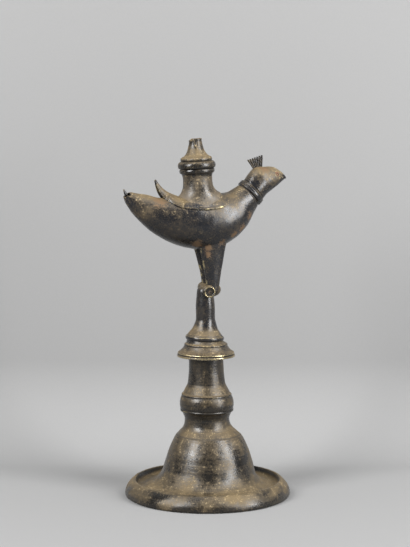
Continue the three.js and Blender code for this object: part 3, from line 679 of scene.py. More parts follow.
def drum_marks(place):
    """The ring round each end's disc is bright, painted shade sits at its inner edge, and the disc is
    pitted.
    """
    away = place - Vector((KNEE_X, 0, KNEE_Z))
    side = away.dot(along)
    out = (away - along * side).length
    end = smooth_share(abs(side), DRUM_HALF - 0.9, DRUM_HALF - 0.4)
    spots = smooth_share(noise.noise(place / 1.5), -0.3, 0.4)
    disc = (1 - smooth_share(out, DISC_EDGE - 0.7, DISC_EDGE - 0.2)) * end
    pitted = noise.noise(place / 0.9)
    # painted shade in the crease between disc and ring; the disc's own pitting darkens it as well
    dark = max(0.8 * bump_at(out, DISC_EDGE, 0.35) * end, disc * (0.45 + 0.9 * pitted))
    bright = (0.5 + 0.4 * spots) * bump_at(out, DRUM_RING, 0.4) * end
    return bright, 0.5 - 0.4 * disc, min(1.0, max(0.0, dark))


finished("knee_drum", drum, knee_brass, "bird_reservoir", drum_marks)

# Thighs: two flattened limbs from the belly down to the knee, cast with the bird and filed flat on
# their outer sides. A row is a height, half length, share of the spread, shift forward and width.
SHANK_X = lean_at(KNEE_Z)
THIGH_FORWARD = 4.6
THIGH_SPREAD = 15.2
THIGH_WIDTH = 7.2
THIGH_TOP = KNEE_Z + 35
THIGH_IN_BELLY = 8
THIGH = [
    (THIGH_TOP + THIGH_IN_BELLY, 13.5, 0.6, -1.6, 1.15),
    (THIGH_TOP, 11.0, 0.5, -1.1, 1.07),
    (KNEE_Z + 21, 8.2, 0.4, -0.3, 0.95),
    (KNEE_Z + 8.8, 6.0, 0.35, 0.0, 0.85),
    (KNEE_Z, 5.2, 0.32, 0.0, 0.76),
]
bird_brass = patina(
    "bird_brass",
    relief=0.2,
    dust_amount=0.42,
    grain=0.85,
    dark=STEEL_GREY,
    brown=BIRD_BROWN,
    patches=[
        (-1.8, -11, 197.0, 5.5),
        (-1.4, -11, 192.0, 5),
        (9.3, -10, 202.0, 6.5),
        (19.5, -14, 207.0, 6),
        (25.9, -12, 212.0, 7),
        (31.6, -10, 222.0, 7),
        (-11.6, -12, 200.5, 8),
        (-40.5, -8, 234.0, 10),
        (47.6, -4, 257.0, 8),
    ],
)


def eased(rows, share):
    """A row of numbers on the smooth line through rows, at a share of its length."""
    at = share * (len(rows) - 1)
    i = min(len(rows) - 2, int(at))
    t = at - i
    before, after = rows[max(0, i - 1)], rows[min(len(rows) - 1, i + 2)]
    found = []
    for p, q, r, s in zip(before, rows[i], rows[i + 1], after):
        rising = 2 * q + (r - p) * t
        bending = (2 * p - 5 * q + 4 * r - s) * t * t
        found.append(0.5 * (rising + bending + (3 * q - p - 3 * r + s) * t**3))
    return found


def ring_on(bm, sides):
    """The first ring of a drawn form: its vertices in order."""
    made = bmesh.ops.create_circle(bm, cap_ends=False, segments=sides, radius=1)["verts"]
    ring = [made[0]]
    while len(ring) < sides:
        beside = [e.other_vert(ring[-1]) for e in ring[-1].link_edges]
        ring.append(next(v for v in beside if v not in ring))
    return ring


def drawn_on(bm, ring, places):
    """Draws the ring's edge out to new places and returns the new ring."""
    pairs = zip(ring, ring[1:] + ring[:1])
    edges = [bm.edges.get(pair) for pair in pairs]
    made = bmesh.ops.extrude_edge_only(bm, edges=edges)["geom"]
    fresh = {v for v in made if isinstance(v, bmesh.types.BMVert)}
    following = []
    for v in ring:
        following.append(next(e.other_vert(v) for e in v.link_edges if e.other_vert(v) in fresh))
    for v, place in zip(following, places):
        v.co = place
    return following


def drawn_form(bm, rings):
    """A closed form through rings of places, with a fan at each end."""
    ring = ring_on(bm, len(rings[0]))
    for v, place in zip(ring, rings[0]):
        v.co = place
    first = ring
    for places in rings[1:]:
        ring = drawn_on(bm, ring, places)
    for end in (first, ring):
        middle = sum((v.co for v in end), Vector()) / len(end)
        edges = [bm.edges.get(pair) for pair in zip(end, end[1:] + end[:1])]
        made = bmesh.ops.extrude_edge_only(bm, edges=edges)["geom"]
        tip = [v for v in made if isinstance(v, bmesh.types.BMVert)]
        for v in tip:
            v.co = middle
        bmesh.ops.remove_doubles(bm, verts=tip, dist=0.001)
    face_outwards(bm)
    return bm


def oval(centre, first, second, sides, shape=None):
    """Places round an oval with two half axes; shape(turn) scales the reach at each turn."""
    places = []
    for i in range(sides):
        turn = 2 * math.pi * i / sides
        reach = shape(turn) if shape else 1
        places.append(centre + (first * math.cos(turn) + second * math.sin(turn)) * reach)
    return places


def thigh_marks(place):
    """Glints on the back edge, and dust in patches down the sides."""
    top = THIGH_TOP + THIGH_IN_BELLY
    share = min(1.0, max(0.0, (top - place.z) / (top - KNEE_Z)))
    back = SHANK_X + THIGH_FORWARD - eased(THIGH, share)[1]
    spots = smooth_share(noise.noise(place / 4), -0.35, 0.2)
    return 0.9 * spots * (1 - smooth_share(place.x - back, 0.35, 1.1)), -0.4, 0


for side, name in ((-1, "thigh_near"), (1, "thigh_far")):
    rings = []
    for share in shares(24):
        z, long, out, forward, wide = eased(THIGH, share)
        centre = Vector((SHANK_X + THIGH_FORWARD + forward, side * out * THIGH_SPREAD, z))
        rings.append(oval(centre, Vector((long, 0, 0)), Vector((0, wide * THIGH_WIDTH / 2, 0)), 48))
    thigh = drawn_form(bmesh.new(), rings)
    hand_worked(thigh, 0.15, 7)
    finished(name, thigh, bird_brass, "bird_reservoir", thigh_marks)

# Bird's body: one thin-walled hollow casting that holds the oil, from the broken wick mouth at the tail
# through belly and breast to the neck, the head and the beak. A station is a share of its length and
# of its depth, a slant in degrees, half its height there and half its width.
BODY_Z = KNEE_Z + 53.6
BIRD_LENGTH = 133.4
BODY_DEPTH = 43.8
BODY_WIDTH = 39.0
BODY_SIDES = 72
STATIONS = [
    (-0.4745, 0.509, -55, 0.089, 0.105),
    (-0.443, 0.42, -43, 0.142, 0.159),
    (-0.385, 0.297, -28, 0.226, 0.241),
    (-0.309, 0.151, -15, 0.304, 0.333),
    (-0.215, 0.057, -7, 0.393, 0.42),
    (-0.112, 0.011, -1, 0.47, 0.482),
    (0, 0, 2, 0.5, 0.5),
    (0.108, 0.055, 9, 0.456, 0.474),
    (0.19, 0.185, 24, 0.364, 0.4),
    (0.238, 0.352, 39, 0.285, 0.318),
    (0.275, 0.477, 43, 0.248, 0.27),
    (0.304, 0.566, 43.5, 0.242, 0.25),
    (0.33, 0.662, 40, 0.249, 0.245),
    (0.361, 0.744, 36, 0.258, 0.232),
    (0.4085, 0.79, 34, 0.212, 0.195),
    (0.45, 0.822, 29, 0.158, 0.138),
    (0.4835, 0.813, 30, 0.087, 0.07),
    (0.5015, 0.783, 30, 0.04, 0.034),
]
LAST = len(STATIONS) - 1
COLLAR = 10.35
COLLAR_HALF = 0.40
COLLAR_STEP = 1.1
BODY_WALL = 2.4
MOUTH_WALL = 1.1
HOLLOW_END = 9.4
HOLLOW_RINGS = 40
BODY_RINGS = 150
WING_LINE = [
    (0.083, 0.3, 0),
    (0.05, 0.274, 0),
    (-0.01, 0.25, 0),
    (-0.07, 0.247, 0),
    (-0.13, 0.26, 0),
    (-0.19, 0.298, 0),
    (-0.218, 0.345, 7.0),
    (-0.263, 0.454, 3.8),
    (-0.288, 0.578, 2.4),
    (-0.306, 0.751, 0.7),
]
WING_GROOVE = 0.75
FILLER_X = SHANK_X - 5.6
FILLER_Z = BODY_Z + 0.527 * BODY_DEPTH
FILLER_HOLE = 10.3
EYE_X = SHANK_X + 0.434 * BIRD_LENGTH
EYE_Z = BODY_Z + 0.831 * BODY_DEPTH


def station(number):
    """The body's middle, its upward direction and its half height and half width at a station."""
    x, z, slant, high, wide = eased(STATIONS, number / LAST)
    slant = math.radians(slant)
    centre = Vector((SHANK_X + x * BIRD_LENGTH, 0, BODY_Z + z * BODY_DEPTH))
    up = Vector((-math.sin(slant), 0, math.cos(slant)))
    return centre, up, high * BODY_DEPTH, wide * BODY_WIDTH


def collar_rise(number):
    """The collar's band, with a fine line near each rim and a groove beside each edge."""
    away = abs(number - COLLAR) / COLLAR_HALF
    band = 1 - smooth_share(away, 0.8, 1.15)
    edge = smooth_share(away, 1.1, 1.25) * (1 - smooth_share(away, 1.3, 1.7))
    line = bump_at(away, 0.55, 0.125)
    return COLLAR_STEP * band - 0.45 * edge - 0.35 * line


def beak_shape(number):
    """Mouth line and brow line pressed into the beak's sides."""
    mouth = smooth_share(number, 15.0, 15.8)
    brow = smooth_share(number, 14.4, 14.9) * (1 - smooth_share(number, 16.4, 16.9))

    def shape(turn):
        height = math.sin(turn)
        cut = mouth * 0.1 * bump_at(height, -0.28, 0.1)
        line = brow * 0.05 * bump_at(height, 0.52, 0.09)
        return 1 - cut - line

    return shape


def wall_at(number):
    """The casting's wall, thinner at the wick mouth."""
    return MOUTH_WALL + (BODY_WALL - MOUTH_WALL) * smooth_share(number, 0, 1.2)


def broken_back(number, turn):
    """How far the mouth's edge is broken back at a turn round it: most on the near side."""
    near = 1 + math.cos(turn - math.pi)
    ragged = noise.noise(Vector((3 * math.cos(turn), 3 * math.sin(turn), 0.5)))
    return (0.4 * near + 1.2 * ragged) * (1 - smooth_share(number, 0, 0.9))


def body_ring(number, grow):
    """Places round the body: its skin and collar where grow is 0, its hollow where grow is negative."""
    centre, up, high, wide = station(number)
    rise = grow or collar_rise(number)
    ring = oval(centre, Vector((0, wide + rise, 0)), up * (high + rise), BODY_SIDES, beak_shape(number))
    along = Vector((up.z, 0, -up.x))
    return [
        place + along * broken_back(number, 2 * math.pi * i / BODY_SIDES) for i, place in enumerate(ring)
    ]


def wing_away(place):
    """Height of a place of the side view over the wing's edge line, or None past its ends."""
    found = None
    for a, b in zip(wing_points, wing_points[1:]):
        if b.x <= place.x <= a.x:
            share = (a.x - place.x) / (a.x - b.x)
            slope = (b.z - a.z) / (a.x - b.x)
            found = (place.z - a.z - share * (b.z - a.z)) / math.sqrt(1 + slope * slope)
    return found


wing_points = []
for share in shares(24):
    x, z, _ = eased(WING_LINE[:7], share)
    wing_points.append(Vector((SHANK_X + x * BIRD_LENGTH, 0, BODY_Z + z * BODY_DEPTH)))
hollow = [HOLLOW_END * i / HOLLOW_RINGS for i in range(HOLLOW_RINGS, -1, -1)]
numbers = [LAST * i / BODY_RINGS for i in range(BODY_RINGS + 1)]
numbers += [0.1, 0.2, 0.3] + [COLLAR + COLLAR_HALF * k / 8 for k in range(-14, 15)]
rings = [body_ring(number, -wall_at(number)) for number in hollow]
rings += [body_ring(number, 0) for number in sorted(numbers)]
body = drawn_form(bmesh.new(), rings)
hand_worked(body, 0.22, 9)
pressed = []
for v in body.verts:
    above = wing_away(v.co)
    if above is not None and v.normal.dot(Vector((0, v.co.y, 0))) > 0:
        ends = smooth_share(v.co.x, wing_points[-1].x, wing_points[-1].x + 6)
        ends *= 1 - smooth_share(v.co.x, wing_points[0].x - 5, wing_points[0].x)
        pressed.append((v, WING_GROOVE * ends * bump_at(above, 1.5, 0.8)))
for v, depth in pressed:
    v.co -= v.normal * depth
under_neck = []
for face in body.faces:
    middle = face.calc_center_median()
    if math.hypot(middle.x - FILLER_X, middle.y) < FILLER_HOLE and middle.z > BODY_Z:
        under_neck.append(face)
bmesh.ops.delete(body, geom=under_neck, context="FACES")
bmesh.ops.bridge_loops(body, edges=[e for e in body.edges if e.is_boundary])
face_outwards(body)
collar_centre, collar_up = station(COLLAR)[:2]
collar_along = Vector((collar_up.z, 0, -collar_up.x))


def body_marks(place):
    """Dust on back, tail and head, a clean dark belly and jaw, and painted shade in the grooves beside
    collar and wing and along the brow.
    """
    head = smooth_share(place.x, 34, 44) * smooth_share(place.z, BODY_Z + 14, BODY_Z + 22)
    back = smooth_share(place.z, BODY_Z + 9, BODY_Z + 17) * (1 - head)
    belly = 1 - smooth_share(place.z, BODY_Z - 8, BODY_Z + 6)
    beak = smooth_share(place.x, EYE_X + 1.5, EYE_X + 3.5)
    jaw = 1 - smooth_share((place.z - EYE_Z) - (place.x - EYE_X), -8.5, -5.5)
    jaw *= smooth_share(place.x, EYE_X - 7, EYE_X - 4)
    patchy = noise.noise(place / 9)
    tail = 1 - smooth_share(place.x, -40, -18)
    mottled = noise.noise(place / 2.6)
    dusty = (0.62 + 0.4 * patchy + 0.8 * mottled) * head + (0.6 * patchy - 0.1) * back - 0.7 * belly
    dusty += 0.5 * beak - 1.3 * head * jaw + 0.35 * tail * smooth_share(place.z, BODY_Z, BODY_Z + 8)
    from_collar = (place - collar_centre).dot(collar_along)
    dusty -= 0.6 * bump_at(from_collar, 0, 2.4)
    # painted shade in the grooves beside the collar
    beside = max(bump_at(from_collar, -2.9, 0.6), bump_at(from_collar, 2.9, 0.6))
    above = wing_away(place)
    # painted shade in the groove just above the wing edge, where its ridge shades it
    dark = 0 if above is None else 0.75 * bump_at(above, 1.4, 0.8)
    by_eye = smooth_share(place.x, EYE_X - 3, EYE_X) * smooth_share(place.z, EYE_Z - 5, EYE_Z - 2)
    flecks = by_eye * smooth_share(noise.noise(place / 1.1), 0.05, 0.25)
    # painted shade along the brow line pressed into the beak
    brow = beak * bump_at((place.z - EYE_Z) + 0.45 * (place.x - EYE_X), 1.6, 0.8)
    return 0.9 * flecks, dusty + 1.2 * flecks, max(dark, 0.5 * head * jaw, 0.6 * beside, 0.45 * brow)


finished("bird_body", body, bird_brass, "bird_reservoir", body_marks)

# Wick mouth: the broken end of the tail's casting, where the wick lay. Its far side still has a thin
# lip, torn and drawn up to a point.
MOUTH_LIP = [
    (-1.2, 1.4),
    (0.8, 1.1),
    (2.4, 0.8),
    (3.8, 0.35),
]
mouth_centre, _, _, mouth_wide = station(0)
lip_along = Vector((-0.45, -0.1, 0.9)).normalized()
lip_root = mouth_centre + Vector((-0.6, mouth_wide * 0.5, 0.6))
lip_side = lip_along.cross(Vector((0, 0, 1))).normalized()
lip_out = lip_side.cross(lip_along)
rings = []
for share in shares(12):
    far, radius = eased(MOUTH_LIP, share)
    rings.append(oval(lip_root + lip_along * far, lip_side * radius * 0.6, lip_out * radius, 16))
lip = drawn_form(bmesh.new(), rings)
hand_worked(lip, 0.2, 1.5)
finished("mouth_lip", lip, bird_brass, "bird_reservoir")

# Wing edges: a raised line along each flank, cast with the body and worn bright. It runs back into
# the rim of the wing tips.
WING_WIRE = 0.85
RIM_WIRE = 0.55
WIRE_STEPS = 72


def station_where(short_of):
    """The place along the body where short_of(centre, up) turns from true to false."""
    low, high = 0.0, float(LAST)
    for _ in range(30):
        middle = (low + high) / 2
        found = station(middle)
        if short_of(*found[:2]):
            low = middle
        else:
            high = middle
    return found


def flank(x, z):
    """Half width of the body's skin at a place of its side view."""
    place = Vector((x, 0, z))

    def short_of(centre, up):
        away = place - centre
        return away.x * up.z - away.z * up.x > 0

    centre, up, tall, wide = station_where(short_of)
    share = min(1.0, abs((place - centre).dot(up)) / tall)
    return wide * math.sqrt(1 - share * share)


def wire_marks(place):
    """Worn in spots, and most along the body."""
    along_body = smooth_share(place.x, -12, 8)
    spots = smooth_share(noise.noise(place / 3), -0.1, 0.4)
    return 0.1 + 0.3 * along_body + 0.35 * spots, 0.2, 0


for side, name in ((-1, "wing_edge_near"), (1, "wing_edge_far")):
    line = []
    for i in range(WIRE_STEPS + 1):
        x, z, least = eased(WING_LINE, i / WIRE_STEPS)
        x = SHANK_X + x * BIRD_LENGTH
        z = BODY_Z + z * BODY_DEPTH
        out = max(least, flank(x, z) + 0.1)
        line.append(Vector((x, side * out, z)))
    rings = []
    for i, place in enumerate(line):
        ahead = (line[min(WIRE_STEPS, i + 1)] - line[max(0, i - 1)]).normalized()
        across = ahead.cross(Vector((0, 0, 1))).normalized()
        radius = WING_WIRE * (0.4 + 0.6 * smooth_share(i, 0, 8))
        radius += (RIM_WIRE - WING_WIRE) * smooth_share(i, 40, 52)
        rings.append(oval(place, across * radius, across.cross(ahead) * radius, 12))
    wire = drawn_form(bmesh.new(), rings)
    hand_worked(wire, 0.12, 3)
    finished(name, wire, shank_brass, "bird_reservoir", wire_marks)

# Wing tips: the two tips joined in one thin leaf, arched over the tail like a saddle. It is cast with
# the body and curls up behind the filler neck.
CURL_LENGTH = 26.0
CURL_RISE = 14.0
CURL_THICKNESS = 1.7
CURL_PROUD = 0.5
CURL_ROOT = Vector((SHANK_X - 0.14 * BIRD_LENGTH, 0, BODY_Z + 0.47 * BODY_DEPTH))
CURL_RIDGE = [(0.06, -0.15), (-0.27, 0.08), (-0.5, 0.28), (-0.68, 0.56), (-0.83, 0.94)]
CURL_EDGE = [
    (-0.19, -0.63, 0.54),
    (-0.4, -0.39, 0.27),
    (-0.63, -0.05, 0.146),
    (-0.76, 0.34, 0.092),
    (-0.85, 0.88, 0.027),
]
rings = []
for share in shares(48):
    ridge = eased(CURL_RIDGE, share)
    edge = eased(CURL_EDGE, share)
    top = CURL_ROOT + Vector((ridge[0] * CURL_LENGTH, 0, ridge[1] * CURL_RISE))
    low = CURL_ROOT + Vector((edge[0] * CURL_LENGTH, 0, edge[1] * CURL_RISE))
    half = max(edge[2] * CURL_LENGTH, flank(low.x, low.z) + CURL_PROUD)
    drop = top - low
    thin = min(CURL_THICKNESS, drop.length * 0.6)
    outer = []
    inner = []
    for step in shares(20):
        turn = math.pi * (step - 0.5)
        outer.append(low + drop * math.cos(turn) + Vector((0, half * math.sin(turn), 0)))
        inner.append(
            low
            + drop * math.cos(turn) * (1 - thin / drop.length)
            + Vector((0, math.sin(turn) * (half - min(thin, half / 2)), 0))
        )
    rings.append(outer + inner[-2:0:-1])
curl = drawn_form(bmesh.new(), rings)
hand_worked(curl, 0.08, 6)
leaf_brass = patina("leaf_brass", relief=0.3, dust_amount=0.75)
finished("wing_tips", curl, leaf_brass, "bird_reservoir")

# Crest: a thin fan of ribs on the crown, cast with the head. Its ribs are beaded and joined by a web,
# and its top is chipped into teeth.
CREST_STATION = 13
CREST_WIDTH = 12.8
CREST_HEIGHT = 9.8
CREST_RIBS = 7
crown, crown_up, crown_high, _ = station(CREST_STATION)
crest_root = crown + crown_up * crown_high
crest = bmesh.new()
for rib in range(CREST_RIBS):
    share = rib / (CREST_RIBS - 1)
    foot = crest_root + Vector(((0.42 - 0.42 * share) * CREST_WIDTH, 0, -0.25 * CREST_HEIGHT))
    tall = (0.99 - 0.36 * share) * CREST_HEIGHT
    tip = crest_root + Vector(((0.45 - 0.9 * share) * CREST_WIDTH, 0, tall))
    rings = []
    for at in shares(12):
        place = foot.lerp(tip, at)
        long = (0.55 + 0.5 * at) * (1 - 0.35 * smooth_share(at, 0.8, 1.0))
        thick = 0.9 - 0.15 * math.sin(at * 40 + rib)
        rings.append(oval(place, Vector((long, 0, 0)), Vector((0, thick, 0)), 16))
    drawn_form(crest, rings)
web = []
for at in shares(8):
    left = crest_root + Vector(((0.0 - 0.42 * at) * CREST_WIDTH, 0, (0.78 * at - 0.25) * CREST_HEIGHT))
    right = crest_root + Vector(((0.42 + 0.02 * at) * CREST_WIDTH, 0, (1.1 * at - 0.25) * CREST_HEIGHT))
    middle = (left + right) / 2
    web.append(oval(middle, (right - left) / 2, Vector((0, 0.45, 0)), 32))
drawn_form(crest, web)
hand_worked(crest, 0.12, 2.5)
crest_brass = patina("crest_brass", relief=0.3, dust_amount=0.32, wear_amount=0.4)
finished("crest", crest, crest_brass, "bird_reservoir")

# Filler neck: a short tube on the back through which the oil is poured, cast with the bird. It has a
# rounded ring at its mouth, and its foot spreads over the back.
FILLER_LEAN = math.radians(3.5)
FILLER_ROOT = 9.5
FOOT_NARROWING = 0.14
FOOT_RISE = 8.28
FILLER = [
    (16.0, -3.2, CORNER),
    (9.35, -3.2, CORNER),
    (9.35, 18.4, CORNER),
    (12.9, 18.4),
    (13.6, 17.9),
    (13.8, 16.9),
    (13.6, 15.7),
    (12.9, 14.9),
    (12.3, 14.7, CORNER),
    (12.0, 13.9),
    (11.6, 12.4),
    (11.45, 9.0),
    (11.86, 5.45),
    (13.1, 3.1),
    (15.1, 1.2),
    (17.6, -0.4),
    (18.2, -1.6, CORNER),
    (16.0, -3.2, CORNER),
]


def back_z(x, y):
    """Height of the body's skin over a place of its plan."""
    centre, _, tall, wide = station_where(lambda centre, up: centre.x < x)
    return centre.z + tall * math.sqrt(1 - min(1.0, abs(y / wide)) ** 2)


def stood_on_back(bm):
    """Moves a form turned about Z to its place on the bird's back, leaning with the neck."""
    turn = Matrix.Rotation(-FILLER_LEAN, 3, "Y")
    bmesh.ops.rotate(bm, cent=(0, 0, 0), matrix=turn, verts=bm.verts)
    bmesh.ops.translate(bm, vec=(FILLER_X, 0, FILLER_Z), verts=bm.verts)
    return bm


filler = stood_on_back(turned(smooth_line(FILLER, 4), 96))
for v in filler.verts:
    share = 1 - smooth_share(v.co.z, FILLER_Z, FILLER_Z + FOOT_RISE)
    v.co.y *= 1 - FOOT_NARROWING * share * smooth_share(abs(v.co.y), 10.5, 16)
    v.co.z += share * max(back_z(v.co.x, v.co.y) - FILLER_Z, -FILLER_ROOT)
hand_worked(filler, 0.12, 7)
NECK_DUST = (0.092, 0.069, 0.042, 1)
neck_brass = patina("neck_brass", relief=0.3, dust_amount=0.65, dust=NECK_DUST)


def neck_marks(place):
    """Streaks of dust on the neck, a clean dark ring at its mouth, and painted shade in the crease under
    the ring and where the lid sits on it.
    """
    rise = place.z - FILLER_Z
    streaks = noise.noise(Vector((place.x / 3, place.y / 3, place.z / 14)))
    dusty = 0.9 + 0.55 * streaks - 1.5 * smooth_share(rise, 12.5, 14.5)
    dusty -= 0.15 * (1 - smooth_share(rise, -1, 5))
    # painted shade in the crease under the ring and on its top under the lid
    return 0, dusty, max(0.7 * bump_at(rise, 14.2, 0.5), 0.95 * bump_at(rise, 18.6, 0.5))


finished("filler_neck", filler, neck_brass, "bird_reservoir", neck_marks)

# Eyes: a small ball in a raised ring on each side of the head, cast with it. Rust sits in the ring,
# and the ball is rubbed bare.
EYE = [
    (0, 0.5),
    (0.5, 0.45),
    (0.8, 0.1, CORNER),
    (1.05, 0.2),
    (1.35, 0.5),
    (1.65, 0.2),
    (1.75, -0.6),
    (0, -0.6),
]
EYE_RUST = (0.17, 0.068, 0.034, 1)
eye_brass = patina("eye_brass", relief=0.2, dust_amount=0.1, patch=1.0, rust=EYE_RUST)


def eye_marks(place):
    """A bare ball, and painted shade in the groove between it and its ring."""
    out = math.hypot(place.x - EYE_X, place.z - EYE_Z)
    # painted shade in the groove round the ball
    return 0.8 * bump_at(out, 0, 0.5), 0, 0.9 * bump_at(out, 0.85, 0.22)


for side, name in ((-1, "eye_near"), (1, "eye_far")):
    eye = turned(smooth_line(EYE, 4), 32)
    turn = Matrix.Rotation(-side * math.pi / 2, 3, "X")
    bmesh.ops.rotate(eye, cent=(0, 0, 0), matrix=turn, verts=eye.verts)
    bmesh.ops.translate(eye, vec=(EYE_X, side * (flank(EYE_X, EYE_Z) - 0.1), EYE_Z), verts=eye.verts)
    finished(name, eye, eye_brass, "bird_reservoir", eye_marks)

# Lid: a lift-off cover of its own, two beads and a flare up to the broken foot of its finial. It is
# hollow, and a short flange drops into the filler neck.
SEAT = 18.75
LID = [
    (0, 6.5),
    (3.0, 6.3),
    (6.0, 4.4),
    (7.35, 1.5),
    (7.35, -3, CORNER),
    (8.85, -3, CORNER),
    (8.85, 0, CORNER),
    (13.5, 0),
    (14.5, 0.8),
    (14.8, 2.2),
    (14.5, 3.8),
    (13.5, 5.1),
    (12.4, 5.5, CORNER),
    (12.0, 5.8, CORNER),
    (12.4, 6.6),
    (12.3, 7.6),
    (11.6, 8.7),
    (10.4, 9.2, CORNER),
    (10.1, 9.5, CORNER),
    (9.3, 10.0),
    (8.2, 11.2),
    (7.2, 12.8),
    (6.2, 15.2),
    (5.45, 18.4),
    (5.1, 21.0),
    (5.1, 23.2, CORNER),
    (3.6, 23.2),
    (3.3, 21.5),
    (0, 21.3),
]
STUB_RADIUS = 5.1
STUB_TOP = 23.2
BREAK_DROP = 1.1
SLOT_FOOT = 18.6
SLOT_X = -1.5
GROOVE_RISE = 5.7
lid_brass = patina("lid_brass", relief=0.3, dust_amount=0.62)
lid = turned([Vector((p[0], p[1] + SEAT)) for p in smooth_line(LID, 6)], 96)
for v in lid.verts:
    rise = v.co.z - SEAT
    high = smooth_share(rise, STUB_TOP - 6.7, STUB_TOP - 0.2)
    out = math.hypot(v.co.x, v.co.y)
    ragged = noise.noise(Vector((v.co.x / 2.2, v.co.y / 2.2, 1.7)))
    chip = BREAK_DROP * smooth_share(-v.co.x / STUB_RADIUS, 0.2, 0.9)
    v.co.z -= high * (chip + 0.3 + 0.5 * ragged)
    slot = bump_at(v.co.x, SLOT_X, 0.7) * smooth_share(-v.co.y, 2.0, 3.5)
    inward = 1.3 * slot * smooth_share(rise, SLOT_FOOT - 1.5, SLOT_FOOT + 0.5)
    v.co.y += inward * min(1.0, out / 4)
hand_worked(lid, 0.1, 6)


def lid_marks(place):
    """A dark lower bead, dust and bare spots on the upper bead and over the flare, and painted shade in the
    groove between the beads and where the lid sits on the neck.
    """
    rise = place.z - FILLER_Z - SEAT + math.tan(FILLER_LEAN) * (FILLER_X - place.x)
    upper = smooth_share(rise, GROOVE_RISE - 0.5, GROOVE_RISE + 0.7)
    stub = smooth_share(rise, 15, 19)
    # painted shade in the groove between the beads and at the foot where the lid meets the neck
    dark = max(bump_at(rise, GROOVE_RISE, 0.35), 0.95 * bump_at(rise, 0, 0.7))
    patchy = noise.noise(place / 3.5)
    dusty = (0.65 + 0.8 * patchy) * upper - 0.4 - 0.2 * stub
    spots = smooth_share(noise.noise(place / 2.2), 0.1, 0.4) * bump_at(rise, 8.3, 1.6)
    return max(0.6 * spots, 0.4 * bump_at(rise, 1.8, 0.8) * (1 - upper)), dusty, dark


finished("lid", stood_on_back(lid), lid_brass, "filler_lid", lid_marks)

# Floor and backdrop: one plain pale sheet of paper that sweeps up behind the lamp. It lies a hair
# below the foot, and from its back it lets the view through.
SHEET_FRONT = -1.6
SHEET_HALF = 2.4
SHEET_TOP = 1.8
SHEET_DROP = 0.0002
SWEEP_START = 0.09
SWEEP_RADIUS = 0.08
CAMERA_TURN = math.radians(-19)
sweep = [Vector((SHEET_FRONT, 0))]
for share in shares(24):
    turn = share * math.pi / 2
    out = SWEEP_START + SWEEP_RADIUS * math.sin(turn)
    sweep.append(Vector((out, SWEEP_RADIUS * (1 - math.cos(turn)))))
sweep.append(Vector((SWEEP_START + SWEEP_RADIUS, SHEET_TOP)))
floor_mesh = bmesh.new()
verts = [floor_mesh.verts.new((-SHEET_HALF, p[0], p[1])) for p in sweep]
edges = [floor_mesh.edges.new(pair) for pair in zip(verts, verts[1:])]
made = bmesh.ops.extrude_edge_only(floor_mesh, edges=edges)["geom"]
far_side = [v for v in made if isinstance(v, bmesh.types.BMVert)]
bmesh.ops.translate(floor_mesh, vec=(2 * SHEET_HALF, 0, 0), verts=far_side)
turn = Matrix.Rotation(CAMERA_TURN, 3, "Z")
bmesh.ops.rotate(floor_mesh, cent=(0, 0, 0), matrix=turn, verts=floor_mesh.verts)
bmesh.ops.translate(floor_mesh, vec=(0, 0, -SHEET_DROP), verts=floor_mesh.verts)
bmesh.ops.recalc_face_normals(floor_mesh, faces=floor_mesh.faces)
if sum(face.normal.z for face in floor_mesh.faces) < 0:
    bmesh.ops.reverse_faces(floor_mesh, faces=floor_mesh.faces)
for face in floor_mesh.faces:
    face.smooth = True
sheet = bpy.data.meshes.new("floor")
floor_mesh.to_mesh(sheet)
floor_mesh.free()
floor = bpy.data.objects.new("floor", sheet)
bpy.context.scene.collection.objects.link(floor)
paper = bpy.data.materials.new("pale_paper")
paper.use_nodes = True
paper_shader = paper.node_tree.nodes["Principled BSDF"]
paper_place = paper.node_tree.nodes.new("ShaderNodeTexCoord").outputs["Object"]
fibres = noise_node(paper.node_tree, paper_place, 900, 4, 0.6)
shade = colour_mix(paper.node_tree, fibres, (0.2, 0.2, 0.2, 1), (0.222, 0.222, 0.221, 1))
paper.node_tree.links.new(shade, paper_shader.inputs["Base Color"])
paper_shader.inputs["Roughness"].default_value = 0.9
behind = paper.node_tree.nodes.new("ShaderNodeNewGeometry").outputs["Backfacing"]
seen = math_node(paper.node_tree, "SUBTRACT", 1.0, behind)
paper.node_tree.links.new(seen, paper_shader.inputs["Alpha"])
sheet.materials.append(paper)
floor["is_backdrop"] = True

# Soft studio light: a large softbox on each side of the camera and one above, in a pale room. Each is
# aimed at the middle of the lamp. Its place, width and height are in metres and its power in watts.
LAMP_MIDDLE = Vector((0, 0, 0.16))
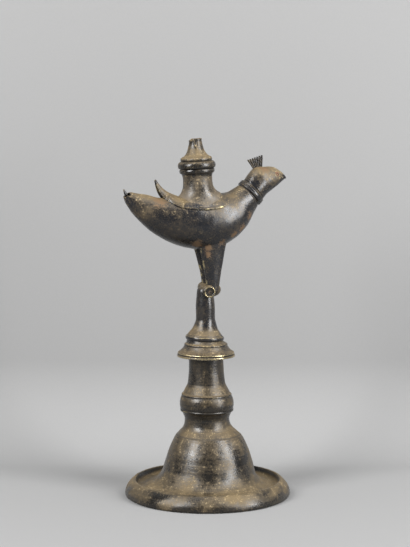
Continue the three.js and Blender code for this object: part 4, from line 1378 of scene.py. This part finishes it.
view_ahead = Vector((-math.sin(CAMERA_TURN), math.cos(CAMERA_TURN), 0))
view_right = Vector((math.cos(CAMERA_TURN), math.sin(CAMERA_TURN), 0))


def softbox(name, right, back, height, width, tall, power):
    light = bpy.data.lights.new(name, "AREA")
    light.shape = "RECTANGLE"
    light.size = width
    light.size_y = tall
    light.energy = power
    lamp = bpy.data.objects.new(name, light)
    bpy.context.scene.collection.objects.link(lamp)
    lamp.location = view_right * right - view_ahead * back + Vector((0, 0, height))
    aim = LAMP_MIDDLE - lamp.location
    lamp.rotation_mode = "QUATERNION"
    lamp.rotation_quaternion = aim.to_track_quat("-Z", "Y")


softbox("softbox_left", -0.9, 0.70, 0.85, 0.45, 0.8, 28)
softbox("softbox_right", 0.95, 0.58, 0.66, 0.42, 1.25, 32)
softbox("softbox_top", 0.0, -0.1, 1.3, 1.4, 1.4, 12)

world = bpy.data.worlds.new("pale_room")
world.use_nodes = True
world.node_tree.nodes["Background"].inputs["Color"].default_value = (0.8, 0.8, 0.8, 1)
world.node_tree.nodes["Background"].inputs["Strength"].default_value = 0.3
bpy.context.scene.world = world

# Camera at the photograph's angle: a little higher than the lamp and looking down on its foot, with a
# long lens.
CAMERA_AWAY = 1.25
CAMERA_SIDE = -0.00203
CAMERA_HEIGHT = 0.3096
CAMERA_PITCH = math.radians(6.1)
camera_data = bpy.data.cameras.new("camera")
camera_data.lens = 105.3
camera_data.sensor_width = 36
camera_data.clip_start = 0.05
camera = bpy.data.objects.new("camera", camera_data)
bpy.context.scene.collection.objects.link(camera)
camera.location = view_ahead * -CAMERA_AWAY + view_right * CAMERA_SIDE
camera.location += Vector((AXIS_X * MM, 0, CAMERA_HEIGHT))
aim = view_ahead * math.cos(CAMERA_PITCH) + Vector((0, 0, -math.sin(CAMERA_PITCH)))
camera.rotation_mode = "QUATERNION"
camera.rotation_quaternion = aim.to_track_quat("-Z", "Y")
bpy.context.scene.camera = camera
bpy.context.scene.view_settings.view_transform = "Standard"

low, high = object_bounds()
